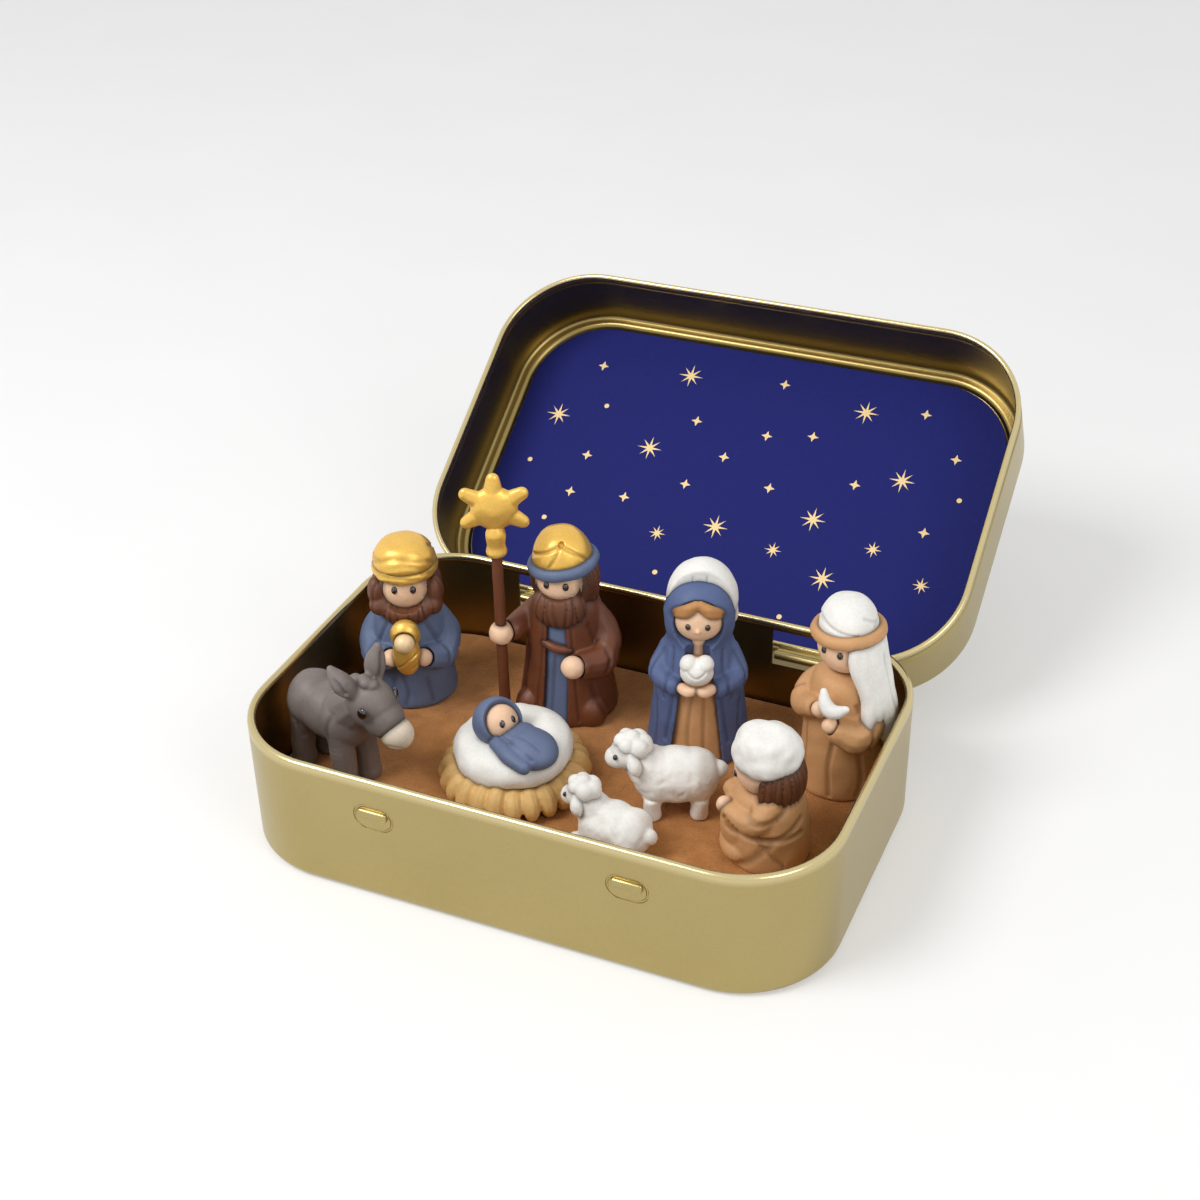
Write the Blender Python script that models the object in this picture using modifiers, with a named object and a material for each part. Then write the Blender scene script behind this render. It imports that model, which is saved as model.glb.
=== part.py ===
"""Pocket nativity tin: a hinged pressed tin that holds nine loose clay figures.

Frame: metres, +Z up, origin at the middle of the tin's underside, +Y to the hinge.
"""
import math

import bmesh
import bpy
from mathutils import Matrix, Vector

MM = 0.001

# Base tray
TIN_WIDTH = 94.6 * MM
TIN_DEPTH = 62.2 * MM
TIN_HEIGHT = 22.2 * MM
TIN_CORNER = 15.6 * MM
TIN_WALL = 0.4 * MM
TIN_FOOT_ROUND = 1.6 * MM
TIN_CURL = 0.65 * MM
CATCH_SPREAD = 40.2 * MM
CATCH_DROP = 6.3 * MM
CATCH_LENGTH = 6.0 * MM
CATCH_HEIGHT = 1.9 * MM
CATCH_PROUD = 0.55 * MM

# Lid, its hinge and the printed card inside it
LID_HEIGHT = 15.3 * MM
LID_WALL = 0.3 * MM
LID_CURL = 0.45 * MM
LID_CLEARANCE = 0.2 * MM
LID_ROUND = 1.3 * MM
LID_STEP_INSET = 1.7 * MM
LID_STEP_RISE = 0.8 * MM
LID_OVERLAP = 5.9 * MM
LID_OPEN = math.radians(147)
HINGE_SETBACK = 1.0 * MM
HINGE_LEFT_X = -18.9 * MM
HINGE_RIGHT_X = 26.8 * MM
SLOT_WIDTH = 13.0 * MM
SLOT_TOP_DROP = 2.1 * MM
SLOT_HEIGHT = 6.9 * MM
SLOT_SIDE_PLAY = 0.7 * MM
TAB_ROLL = 0.75 * MM
TAB_PLATE = 0.45 * MM
CARD_THICKNESS = 0.4 * MM

# Floor liner
LINER_THICKNESS = 5.3 * MM
LINER_EDGE = 0.6 * MM

# Clearance between pieces that touch
GAP = 0.3 * MM

# Gift bearer
GIFT_ROBE_RADIUS = 7.1 * MM
GIFT_ROBE_HEIGHT = 17.3 * MM
GIFT_HEAD_RADIUS = 4.7 * MM
GIFT_BEARD_SIZE = 1.3 * MM
GIFT_BEARD_DROP = 0.8 * MM
GIFT_HAND_RADIUS = 1.4 * MM
GIFT_LENGTH = 10.4 * MM
GIFT_WIDTH = 4.7 * MM
GIFT_BALL_RADIUS = 1.6 * MM
TURBAN_RADIUS = 5.3 * MM
TURBAN_HEIGHT = 4.6 * MM
TURBAN_BRIM = 1.25 * MM

# Star bearer
COAT_RADIUS = 8.2 * MM
COAT_HEIGHT = 21.5 * MM
TUNIC_WIDTH = 3.9 * MM
TUNIC_INSET = 0.7 * MM
BELT_HEIGHT = 1.5 * MM
BELT_THICKNESS = 1.6 * MM
STAR_HEAD_RADIUS = 4.9 * MM
STAR_BEARD_SIZE = 1.0 * MM
STAR_BEARD_DROP = 0.4 * MM
STAR_HAND_RADIUS = 1.95 * MM
CAP_RADIUS = 4.9 * MM
CAP_HEIGHT = 5.7 * MM
CAP_BAND = 1.05 * MM
CAP_LEAN = -8
STAFF_RADIUS = 0.9 * MM
STAFF_LENGTH = 32.2 * MM
STAFF_REACH = 11.1 * MM
STAR_RADIUS = 5.9 * MM
STAR_WAIST = 3.5 * MM
STAR_THICKNESS = 2.4 * MM
STAR_SOCKET_RADIUS = 1.55 * MM
STAR_SOCKET_LENGTH = 3.2 * MM
STAR_TURN = 15

# Mother
MANTLE_RADIUS = 8.2 * MM
MANTLE_HEIGHT = 30.4 * MM
MANTLE_HOOD_RADIUS = 5.4 * MM
DRESS_WIDTH = 7.0 * MM
DRESS_INSET = 0.8 * MM
MOTHER_HEAD_RADIUS = 4.2 * MM
MOTHER_HAND_RADIUS = 1.3 * MM
VEIL_THICKNESS = 1.0 * MM
BUNDLE_RADIUS = 1.75 * MM

# Manger and baby
NEST_RADIUS = 11.7 * MM
NEST_HEIGHT = 5.0 * MM
NEST_LUMPS = 22
NEST_LUMP_DEPTH = 0.55 * MM
MATTRESS_RADIUS = 9.9 * MM
MATTRESS_HEIGHT = 5.9 * MM
BABY_HEAD_RADIUS = 2.9 * MM
BABY_HOOD_THICKNESS = 1.0 * MM
BABY_LENGTH = 9.6 * MM
BABY_WIDTH = 6.4 * MM
BABY_ARM_RADIUS = 1.0 * MM

# Donkey
DONKEY_LENGTH = 15.4 * MM
DONKEY_WIDTH = 9.4 * MM
DONKEY_BODY_HEIGHT = 10.2 * MM
DONKEY_LEG_LENGTH = 6.8 * MM
DONKEY_LEG_RADIUS = 1.95 * MM
DONKEY_HEAD_LENGTH = 10.6 * MM
DONKEY_HEAD_TURN = (38, 0, 10)
DONKEY_MANE_RADIUS = 1.0 * MM
DONKEY_EAR_LENGTH = 6.2 * MM
DONKEY_EAR_RADIUS = 1.25 * MM

# Sheep
SHEEP_LENGTH = 12.8 * MM
SHEEP_WIDTH = 8.6 * MM
SHEEP_BODY_HEIGHT = 9.2 * MM
SHEEP_LEG_LENGTH = 2.0 * MM
SHEEP_LEG_RADIUS = 1.4 * MM
SHEEP_HEAD_RADIUS = 2.8 * MM
SHEEP_TAIL_RADIUS = 1.5 * MM
LAMB_LENGTH = 11.8 * MM
LAMB_WIDTH = 8.2 * MM
LAMB_HEIGHT = 7.2 * MM
LAMB_HEAD_RADIUS = 2.5 * MM
LAMB_KNEE_RADIUS = 1.5 * MM
LAMB_TAIL_RADIUS = 1.3 * MM

# Standing shepherd
SHEPHERD_ROBE_RADIUS = 6.6 * MM
SHEPHERD_ROBE_HEIGHT = 21.0 * MM
SHEPHERD_HEAD_RADIUS = 4.6 * MM
SHEPHERD_HAND_RADIUS = 1.2 * MM
SCARF_RADIUS = 4.5 * MM
SCARF_HEIGHT = 5.4 * MM
SCARF_RING = 1.05 * MM
SCARF_TAIL_WIDTH = 9.0 * MM
SCARF_TAIL_THICKNESS = 1.5 * MM
SCARF_TAIL_END = 6.5 * MM
CRESCENT_RADIUS = 1.1 * MM

# Seated shepherd
SEATED_ROBE_RADIUS = 6.3 * MM
SEATED_ROBE_HEIGHT = 12.4 * MM
SEATED_HEAD_RADIUS = 4.4 * MM
SEATED_HAIR_SIZE = 0.9 * MM
SEATED_HAND_RADIUS = 1.15 * MM
SEATED_CAP_RADIUS = 5.3 * MM
SEATED_CAP_HEIGHT = 6.4 * MM

# Where each figure stands, as shares of the floor's half width and half depth,
# and the heading it faces, in degrees from the front wall towards +X
PLACES = {
    "gift_bearer": (-0.779, 0.406, 24),
    "star_bearer": (-0.231, 0.600, 9),
    "mother": (0.276, 0.537, 18),
    "manger": (-0.208, -0.142, 24),
    "donkey": (-0.800, -0.395, 70),
    "standing_sheep": (0.342, -0.040, -67),
    "lying_sheep": (0.230, -0.420, -95),
    "standing_shepherd": (0.790, 0.510, -16),
    "seated_shepherd": (0.690, -0.168, -76),
}

# Sizes that follow from the ones above
LINER_TOP = TIN_WALL + GAP + LINER_THICKNESS
FIGURE_SEAT = LINER_TOP + GAP
INNER_WIDTH = TIN_WIDTH - 2 * TIN_WALL
INNER_DEPTH = TIN_DEPTH - 2 * TIN_WALL
LID_SPREAD = 2 * LID_CURL + LID_CLEARANCE
LID_WIDTH = TIN_WIDTH + 2 * LID_SPREAD
LID_DEPTH = TIN_DEPTH + 2 * LID_SPREAD
LID_CORNER = TIN_CORNER + LID_SPREAD
HINGE_Y = TIN_DEPTH / 2 + HINGE_SETBACK
HINGE_Z = TIN_HEIGHT - LID_OVERLAP
SLOT_BOTTOM = TIN_HEIGHT - SLOT_TOP_DROP - SLOT_HEIGHT

# Smoothness of round forms
BALL_SEGMENTS = 12
BALL_RINGS = 7
TURN_STEPS = 16
CORNER_STEPS = 5
SMALL_SEGMENTS = 8
SMALL_RINGS = 5
MERGE_DISTANCE = 0.001 * MM
SCREW_MERGE = 0.01 * MM


def clear_scene():
    for old in list(bpy.data.objects):
        bpy.data.objects.remove(old, do_unlink=True)


def new_collection(name):
    collection = bpy.data.collections.new(name)
    bpy.context.scene.collection.children.link(collection)
    return collection


clear_scene()
PARTS = new_collection("pocket_nativity_tin")
TOOLS = new_collection("cutters")


def finish(name, colour, roughness, metallic=0.0):
    """A Principled material; colour is sRGB in 0 to 255, as the eye reads it."""
    material = bpy.data.materials.new(name)
    material.use_nodes = True
    shader = material.node_tree.nodes["Principled BSDF"]
    linear = [(channel / 255) ** 2.2 for channel in colour]
    shader.inputs["Base Color"].default_value = (*linear, 1)
    shader.inputs["Roughness"].default_value = roughness
    shader.inputs["Metallic"].default_value = metallic
    return material


GOLD_TIN = finish("gold_tin", (205, 184, 122), 0.35, 1.0)
BLUE_CARD = finish("blue_card", (36, 38, 120), 0.6)
BROWN_SUEDE = finish("brown_suede", (150, 90, 45), 0.95)
BLUE_CLAY = finish("blue_clay", (94, 107, 138), 0.6)
BROWN_CLAY = finish("brown_clay", (110, 60, 35), 0.55)
SKIN_CLAY = finish("skin_clay", (240, 205, 165), 0.6)
GOLD_CLAY = finish("gold_clay", (215, 155, 45), 0.35, 0.5)
TAN_CLAY = finish("tan_clay", (185, 130, 78), 0.65)
WHITE_CLAY = finish("white_clay", (245, 240, 232), 0.65)
STRAW_CLAY = finish("straw_clay", (205, 160, 95), 0.65)
GREY_CLAY = finish("grey_clay", (108, 98, 95), 0.65)
CREAM_CLAY = finish("cream_clay", (232, 205, 155), 0.6)


# Meshes and objects
def tool_object(name, mesh, parent=None):
    """A guide or cutter: drawn as wire and left out of the finished part."""
    obj = bpy.data.objects.new(name, mesh)
    TOOLS.objects.link(obj)
    obj.parent = parent
    obj.hide_render = True
    obj.display_type = "WIRE"
    return obj


def promote(obj, name, material):
    """Turn a guide shape into a finished piece of the object."""
    TOOLS.objects.unlink(obj)
    PARTS.objects.link(obj)
    obj.name = name
    obj.hide_render = False
    obj.display_type = "TEXTURED"
    obj.data.materials.clear()
    obj.data.materials.append(material)
    obj.data.shade_smooth()
    return obj


def mesh_from(bm, name):
    mesh = bpy.data.meshes.new(name)
    bm.to_mesh(mesh)
    bm.free()
    return mesh


def evaluated_mesh(obj):
    """The object's mesh with its modifiers, in its own space."""
    bpy.context.view_layer.update()
    graph = bpy.context.evaluated_depsgraph_get()
    return bpy.data.meshes.new_from_object(obj.evaluated_get(graph))


def boolean(obj, operation, operand, solver="EXACT"):
    modifier = obj.modifiers.new(operation.lower(), "BOOLEAN")
    modifier.operation = operation
    modifier.solver = solver
    modifier.object = operand


def grown_copy(obj, margin):
    """A cutter that is the object swelled by a margin on every side."""
    bm = bmesh.new()
    bm.from_mesh(evaluated_mesh(obj))
    bmesh.ops.remove_doubles(bm, verts=bm.verts, dist=MERGE_DISTANCE)
    bm.normal_update()
    steps = [vert.normal * margin * min(vert.calc_shell_factor(), 1.6) for vert in bm.verts]
    for vert, step in zip(bm.verts, steps):
        vert.co += step
    return tool_object(f"{obj.name}_clearance", mesh_from(bm, "clearance"), obj.parent)


def piece(name, material, shapes, carve=(), within=(), clear_of=(), solver="EXACT"):
    """One finished piece: shapes joined, cut to size and kept clear of its neighbours."""
    body = promote(shapes[0], name, material)
    for shape in shapes[1:]:
        boolean(body, "UNION", shape, solver)
    for shape in within:
        boolean(body, "INTERSECT", shape, solver)
    for shape in carve:
        boolean(body, "DIFFERENCE", shape, solver)
    for neighbour in clear_of:
        boolean(body, "DIFFERENCE", grown_copy(neighbour, GAP), solver)
    return body


# Shapes of clay
def ball(figure, centre, radii, turn=(0, 0, 0), segments=BALL_SEGMENTS, rings=BALL_RINGS):
    """A ball pressed to three radii, turned by Euler angles in degrees."""
    rotation = Matrix.Identity(4)
    for angle, axis in zip(turn, "XYZ"):
        rotation = Matrix.Rotation(math.radians(angle), 4, axis) @ rotation
    place = Matrix.Translation(centre) @ rotation @ Matrix.Diagonal((*radii, 1))
    bm = bmesh.new()
    bmesh.ops.create_uvsphere(bm, u_segments=segments, v_segments=rings, radius=1, matrix=place)
    return tool_object("ball", mesh_from(bm, "ball"), figure)


def small_ball(figure, centre, radii, turn=(0, 0, 0)):
    return ball(figure, centre, radii, turn, SMALL_SEGMENTS, SMALL_RINGS)


def block(figure, low, high):
    """A box between two corners."""
    low, high = Vector(low), Vector(high)
    place = Matrix.Translation((low + high) / 2) @ Matrix.Diagonal((*(high - low), 1))
    bm = bmesh.new()
    bmesh.ops.create_cube(bm, size=1, matrix=place)
    return tool_object("block", mesh_from(bm, "block"), figure)


def turned(figure, outline, steps=TURN_STEPS, place=Matrix.Identity(4)):
    """A turned form: outline holds radius and height, from the top down the outer side."""
    bm = bmesh.new()
    verts = [bm.verts.new((radius, 0, height)) for radius, height in outline]
    for first, second in zip(verts, verts[1:]):
        bm.edges.new((first, second))
    profile = tool_object("profile", mesh_from(bm, "profile"))
    screw = profile.modifiers.new("turn", "SCREW")
    screw.steps = steps
    screw.render_steps = steps
    screw.use_merge_vertices = True
    screw.merge_threshold = SCREW_MERGE
    mesh = evaluated_mesh(profile)
    bpy.data.objects.remove(profile, do_unlink=True)
    mesh.transform(place)
    return tool_object("turned", mesh, figure)


def scaled(outline, radius, height):
    return [(share * radius, level * height) for share, level in outline]


def ring(figure, centre, radius, thickness, tilt=(0, 0)):
    """A rolled ring of clay; tilt leans it about X and Y, in degrees."""
    about_x, about_y = (Matrix.Rotation(math.radians(angle), 4, axis) for angle, axis in zip(tilt, "XY"))
    bpy.ops.mesh.primitive_torus_add(major_radius=radius, minor_radius=thickness,
                                     major_segments=TURN_STEPS, minor_segments=6)
    torus = bpy.context.object
    mesh = torus.data
    bpy.data.objects.remove(torus, do_unlink=True)
    mesh.transform(Matrix.Translation(centre) @ about_x @ about_y)
    return tool_object("ring", mesh, figure)


def limb(figure, points, sides=2, smooth=2):
    """A sleeve, leg or rope of clay through points of x, y, z and radius."""
    curve = bpy.data.curves.new("limb", "CURVE")
    curve.dimensions = "3D"
    curve.bevel_depth = 1.0
    curve.bevel_resolution = sides
    curve.use_fill_caps = True
    curve.resolution_u = smooth
    curve.render_resolution_u = 0
    spline = curve.splines.new("BEZIER")
    spline.bezier_points.add(len(points) - 1)
    for knot, (x, y, z, radius) in zip(spline.bezier_points, points):
        knot.co = (x, y, z)
        knot.radius = radius
        knot.handle_left_type = knot.handle_right_type = "AUTO"
    path = tool_object("limb_path", curve)
    bm = bmesh.new()
    bm.from_mesh(evaluated_mesh(path))
    bpy.data.objects.remove(path, do_unlink=True)
    bmesh.ops.remove_doubles(bm, verts=bm.verts, dist=MERGE_DISTANCE)
    bmesh.ops.recalc_face_normals(bm, faces=bm.faces)
    return tool_object("limb", mesh_from(bm, "limb"), figure)


def empty(name, location, heading=0.0, lean=0.0):
    obj = bpy.data.objects.new(name, None)
    PARTS.objects.link(obj)
    obj.location = location
    obj.rotation_euler = (lean, 0, heading)
    return obj


def figure_stand(name):
    """The empty that carries one figure, on the line along which it lifts out."""
    across, along, heading = PLACES[name]
    spot = (across * INNER_WIDTH / 2, along * INNER_DEPTH / 2, FIGURE_SEAT)
    return empty(f"{name}_stand", spot, math.radians(heading))


# The tin
def rounded_plate(bm, width, depth, corner):
    """A flat face with round corners, facing down, at height zero."""
    bmesh.ops.create_grid(bm, x_segments=1, y_segments=1, size=0.5)
    bmesh.ops.scale(bm, vec=(width, depth, 1), verts=bm.verts)
    bmesh.ops.bevel(bm, geom=bm.verts[:], offset=corner, offset_type="OFFSET", segments=CORNER_STEPS,
                    profile=0.5, affect="VERTICES", material=-1)
    bmesh.ops.reverse_faces(bm, faces=bm.faces)


def pressed_sheet(width, depth, corner, sections, wall, name):
    """A sheet pressed to sections of inset and height, from its panel out to its rim."""
    half = Vector((width / 2 - corner, depth / 2 - corner))

    def shift(verts, inset, height):
        for vert in verts:
            core = Vector((max(-half.x, min(half.x, vert.co.x)), max(-half.y, min(half.y, vert.co.y))))
            out = (vert.co.xy - core).normalized()
            vert.co = (*(core + out * (corner - inset)), height)

    bm = bmesh.new()
    rounded_plate(bm, width, depth, corner)
    shift(bm.verts, *sections[0])
    for section in sections[1:]:
        border = [edge for edge in bm.edges if edge.is_boundary]
        drawn = bmesh.ops.extrude_edge_only(bm, edges=border)["geom"]
        shift([item for item in drawn if isinstance(item, bmesh.types.BMVert)], *section)
    bmesh.ops.recalc_face_normals(bm, faces=bm.faces)
    panel = max(bm.faces, key=lambda face: face.calc_area())
    if panel.normal.z > 0:
        bmesh.ops.reverse_faces(bm, faces=bm.faces)
    sheet = tool_object(name, mesh_from(bm, name))
    solid = sheet.modifiers.new("sheet", "SOLIDIFY")
    solid.thickness = wall
    solid.offset = -1
    solid.use_even_offset = True
    return sheet


def arc(inset, height, radius, start, stop, steps):
    """Section points on an arc about a centre, from one angle to another, in degrees."""
    angles = [math.radians(start + (stop - start) * step / steps) for step in range(steps + 1)]
    return [(inset + radius * math.cos(angle), height + radius * math.sin(angle)) for angle in angles]


def rolled_rim(height, curl):
    return arc(curl, height - curl, curl, 180, -40, 5)


def base_tray():
    sections = arc(TIN_FOOT_ROUND, TIN_FOOT_ROUND, TIN_FOOT_ROUND, 270, 180, 3)
    sections += rolled_rim(TIN_HEIGHT, TIN_CURL)
    sheet = pressed_sheet(TIN_WIDTH, TIN_DEPTH, TIN_CORNER, sections, TIN_WALL, "tray_sheet")
    front = -TIN_DEPTH / 2
    bars = []
    for side in (-1, 1):
        middle = (side * CATCH_SPREAD / 2, front + TIN_WALL / 2, TIN_HEIGHT - CATCH_DROP)
        bars.append(ball(None, middle, (CATCH_LENGTH / 2, CATCH_PROUD + TIN_WALL / 2, CATCH_HEIGHT / 2)))
    slots = []
    for middle in (HINGE_LEFT_X, HINGE_RIGHT_X):
        low = (middle - SLOT_WIDTH / 2, TIN_DEPTH / 2 - 2 * TIN_WALL, SLOT_BOTTOM)
        high = (middle + SLOT_WIDTH / 2, TIN_DEPTH / 2 + TIN_WALL, SLOT_BOTTOM + SLOT_HEIGHT)
        slots.append(block(None, low, high))
    inside = block(None, (-TIN_WIDTH / 2, front + TIN_WALL, TIN_WALL), (TIN_WIDTH / 2, 0, TIN_HEIGHT))
    for bar in bars:
        boolean(bar, "DIFFERENCE", inside)
    return piece("base_tray", GOLD_TIN, [sheet, *bars], carve=slots)


def floor_liner():
    """A board covered in suede, which fills the bottom of the tray."""
    inset = TIN_WALL + GAP
    bm = bmesh.new()
    rounded_plate(bm, TIN_WIDTH - 2 * inset, TIN_DEPTH - 2 * inset, TIN_CORNER - inset)
    lifted = bmesh.ops.extrude_face_region(bm, geom=bm.faces[:])["geom"]
    top = [item for item in lifted if isinstance(item, bmesh.types.BMVert)]
    bmesh.ops.translate(bm, vec=(0, 0, LINER_THICKNESS), verts=top)
    bmesh.ops.translate(bm, vec=(0, 0, TIN_WALL + GAP), verts=bm.verts)
    bmesh.ops.recalc_face_normals(bm, faces=bm.faces)
    borders = [edge for edge in bm.edges if abs(edge.verts[0].co.z - edge.verts[1].co.z) < 0.1 * LINER_EDGE]
    lower = [edge for edge in borders if edge.verts[0].co.z < TIN_FOOT_ROUND]
    upper = [edge for edge in borders if edge not in lower]
    for edges, width in ((upper, LINER_EDGE), (lower, TIN_FOOT_ROUND)):
        bmesh.ops.bevel(bm, geom=edges, offset=width, offset_type="OFFSET", segments=2,
                        profile=0.5, affect="EDGES", material=-1)
    return piece("floor_liner", BROWN_SUEDE, [tool_object("board", mesh_from(bm, "board"))])


def lid(hinge):
    """The lid is drawn closed about the hinge; the hinge empty then swings it open."""
    sections = [(LID_STEP_INSET + LID_STEP_RISE, 0),
                (LID_STEP_INSET + 0.3 * LID_STEP_RISE, 0.3 * LID_STEP_RISE),
                (LID_STEP_INSET, LID_STEP_RISE)]
    sections += arc(LID_ROUND, LID_STEP_RISE + LID_ROUND, LID_ROUND, 270, 180, 3)
    sections += rolled_rim(LID_HEIGHT, LID_CURL)
    sheet = pressed_sheet(LID_WIDTH, LID_DEPTH, LID_CORNER, sections, LID_WALL, "lid_sheet")
    over = Matrix.Rotation(math.pi, 4, "Y")
    closed = Matrix.Translation((0, -HINGE_Y, LID_HEIGHT)) @ over
    sheet.data.transform(closed)
    sheet.parent = hinge
    tabs = []
    opened = Matrix.Rotation(LID_OPEN, 4, "X")
    reach = HINGE_SETBACK + 2 * TIN_WALL
    drop = 0.8 * TAB_ROLL
    for middle in (HINGE_LEFT_X, HINGE_RIGHT_X):
        half = SLOT_WIDTH / 2 - SLOT_SIDE_PLAY
        roll = turned(None, [(0, half), (TAB_ROLL, half), (TAB_ROLL, -half), (0, -half)], steps=12)
        across = Matrix.Rotation(math.pi / 2, 4, "Y")
        roll.data.transform(Matrix.Translation((middle, -reach, -drop)) @ across)
        plate = block(None, (middle - half, -reach, -drop - TAB_PLATE / 2),
                      (middle + half, LID_CURL * 2, -drop + TAB_PLATE / 2))
        for tab in (roll, plate):
            tab.data.transform(opened)
            tab.parent = hinge
            tabs.append(tab)
    piece("lid_shell", GOLD_TIN, [sheet, *tabs], solver="MANIFOLD")
    inset = LID_STEP_INSET + LID_STEP_RISE + LID_WALL + GAP
    bm = bmesh.new()
    rounded_plate(bm, LID_WIDTH - 2 * inset, LID_DEPTH - 2 * inset, LID_CORNER - inset)
    flat = tool_object("card", mesh_from(bm, "card"), hinge)
    flat.data.transform(Matrix.Translation((0, -HINGE_Y, LID_HEIGHT - LID_WALL - GAP - CARD_THICKNESS)))
    board = flat.modifiers.new("board", "SOLIDIFY")
    board.thickness = CARD_THICKNESS
    board.offset = -1
    return piece("sky_card", BLUE_CARD, [flat])


# Outlines shared by the robes, as shares of radius and height, from the top down
BELL = [(0, 1), (0.42, 1), (0.70, 0.93), (0.86, 0.75), (0.93, 0.5), (0.97, 0.2), (1, 0.04), (0.96, 0), (0, 0)]
COAT = [(0, 1), (0.40, 1), (0.62, 0.93), (0.74, 0.78), (0.82, 0.5), (0.93, 0.2), (1, 0.03), (0.97, 0), (0, 0)]
SQUAT = [(0, 1), (0.5, 1), (0.78, 0.88), (0.94, 0.6), (1, 0.28), (0.97, 0), (0, 0)]
DOME = [(0, 1), (0.34, 0.95), (0.66, 0.76), (0.88, 0.46), (1, 0.1), (0.96, 0), (0, 0)]


def dome(figure, centre, radius, height, tilt=0):
    """A cap of clay with a flat seat, leaning sideways by a tilt in degrees."""
    place = Matrix.Translation(centre) @ Matrix.Rotation(math.radians(tilt), 4, "Y")
    return turned(figure, scaled(DOME, radius, height), place=place)


def gift_bearer():
    stand = figure_stand("gift_bearer")
    radius, height = GIFT_ROBE_RADIUS, GIFT_ROBE_HEIGHT
    head_z = height + 0.82 * GIFT_HEAD_RADIUS
    head_y = -0.17 * GIFT_HEAD_RADIUS
    brim_z = head_z + 0.66 * GIFT_HEAD_RADIUS
    head = piece("gift_bearer_head", SKIN_CLAY, [ball(stand, (0, head_y, head_z), (GIFT_HEAD_RADIUS,) * 3)])
    wide = GIFT_HEAD_RADIUS + GIFT_BEARD_SIZE
    hair = ball(stand, (0, 0.13 * wide, head_z - GIFT_BEARD_DROP), (wide, 0.9 * wide, 0.92 * wide))
    chin = ball(stand, (0, head_y - 0.65 * wide, head_z - 0.62 * wide),
                (0.74 * wide, 0.45 * wide, 0.5 * wide))
    brim = piece("gift_bearer_turban_brim", GOLD_CLAY,
                 [ring(stand, (0, head_y, brim_z), TURBAN_RADIUS - TURBAN_BRIM, TURBAN_BRIM)],
                 clear_of=[head])
    fold = TURBAN_RADIUS - 0.4 * TURBAN_BRIM
    crown = dome(stand, (0, head_y, brim_z + 0.2 * TURBAN_BRIM), fold, TURBAN_HEIGHT)
    piece("gift_bearer_turban_crown", GOLD_CLAY, [crown], clear_of=[head, brim])
    above = block(stand, (-2 * wide, -2 * wide, brim_z), (2 * wide, 2 * wide, brim_z + 3 * wide))
    beard = piece("gift_bearer_beard", BROWN_CLAY, [hair, chin], carve=[above], clear_of=[head, brim])
    hand_y, hand_z = -1.1 * radius, 0.62 * height
    hands = []
    sleeves = []
    for side, word in ((-1, "right"), (1, "left")):
        spot = (side * 0.37 * radius, hand_y, hand_z)
        hand = small_ball(stand, spot, (GIFT_HAND_RADIUS,) * 3)
        hands.append(piece(f"gift_bearer_{word}_hand", SKIN_CLAY, [hand]))
        sleeves.append(limb(stand, [
            (side * 0.55 * radius, 0.05 * radius, 0.86 * height, 0.24 * radius),
            (side * 0.86 * radius, -0.12 * radius, 0.62 * height, 0.31 * radius),
            (side * 0.76 * radius, -0.62 * radius, 0.52 * height, 0.32 * radius),
            (side * 0.46 * radius, -0.95 * radius, 0.59 * height, 0.27 * radius)]))
    gift_y, gift_z = hand_y - 0.5 * GIFT_HAND_RADIUS, hand_z + 0.23 * GIFT_LENGTH
    bead = small_ball(stand, (0, gift_y - 0.36 * GIFT_WIDTH, gift_z + 0.2 * GIFT_LENGTH),
                      (GIFT_BALL_RADIUS,) * 3)
    jewel = piece("gift_ball", SKIN_CLAY, [bead])
    wrap = ball(stand, (0, gift_y, gift_z), (GIFT_WIDTH / 2, 0.38 * GIFT_WIDTH, GIFT_LENGTH / 2))
    gift = piece("gift_wrap", GOLD_CLAY, [wrap], clear_of=[*hands, jewel, beard])
    robe = turned(stand, scaled(BELL, radius, height))
    piece("gift_bearer_robe", BLUE_CLAY, [robe, *sleeves], clear_of=[head, beard, *hands, gift],
          solver="MANIFOLD")


def star_outline():
    """A soft six-pointed star as a flat closed curve, one point straight down."""
    curve = bpy.data.curves.new("star", "CURVE")
    curve.dimensions = "2D"
    curve.fill_mode = "BOTH"
    curve.extrude = 0.28 * STAR_THICKNESS
    curve.bevel_depth = 0.22 * STAR_THICKNESS
    curve.bevel_resolution = 1
    curve.render_resolution_u = 0
    spline = curve.splines.new("POLY")
    spline.points.add(11)
    spline.use_cyclic_u = True
    for step, point in enumerate(spline.points):
        reach = (STAR_RADIUS if step % 2 == 0 else STAR_WAIST) - curve.bevel_depth
        angle = math.radians(30 * step - 90)
        point.co = (reach * math.cos(angle), reach * math.sin(angle), 0, 1)
    return tool_object("star_curve", curve)


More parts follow.
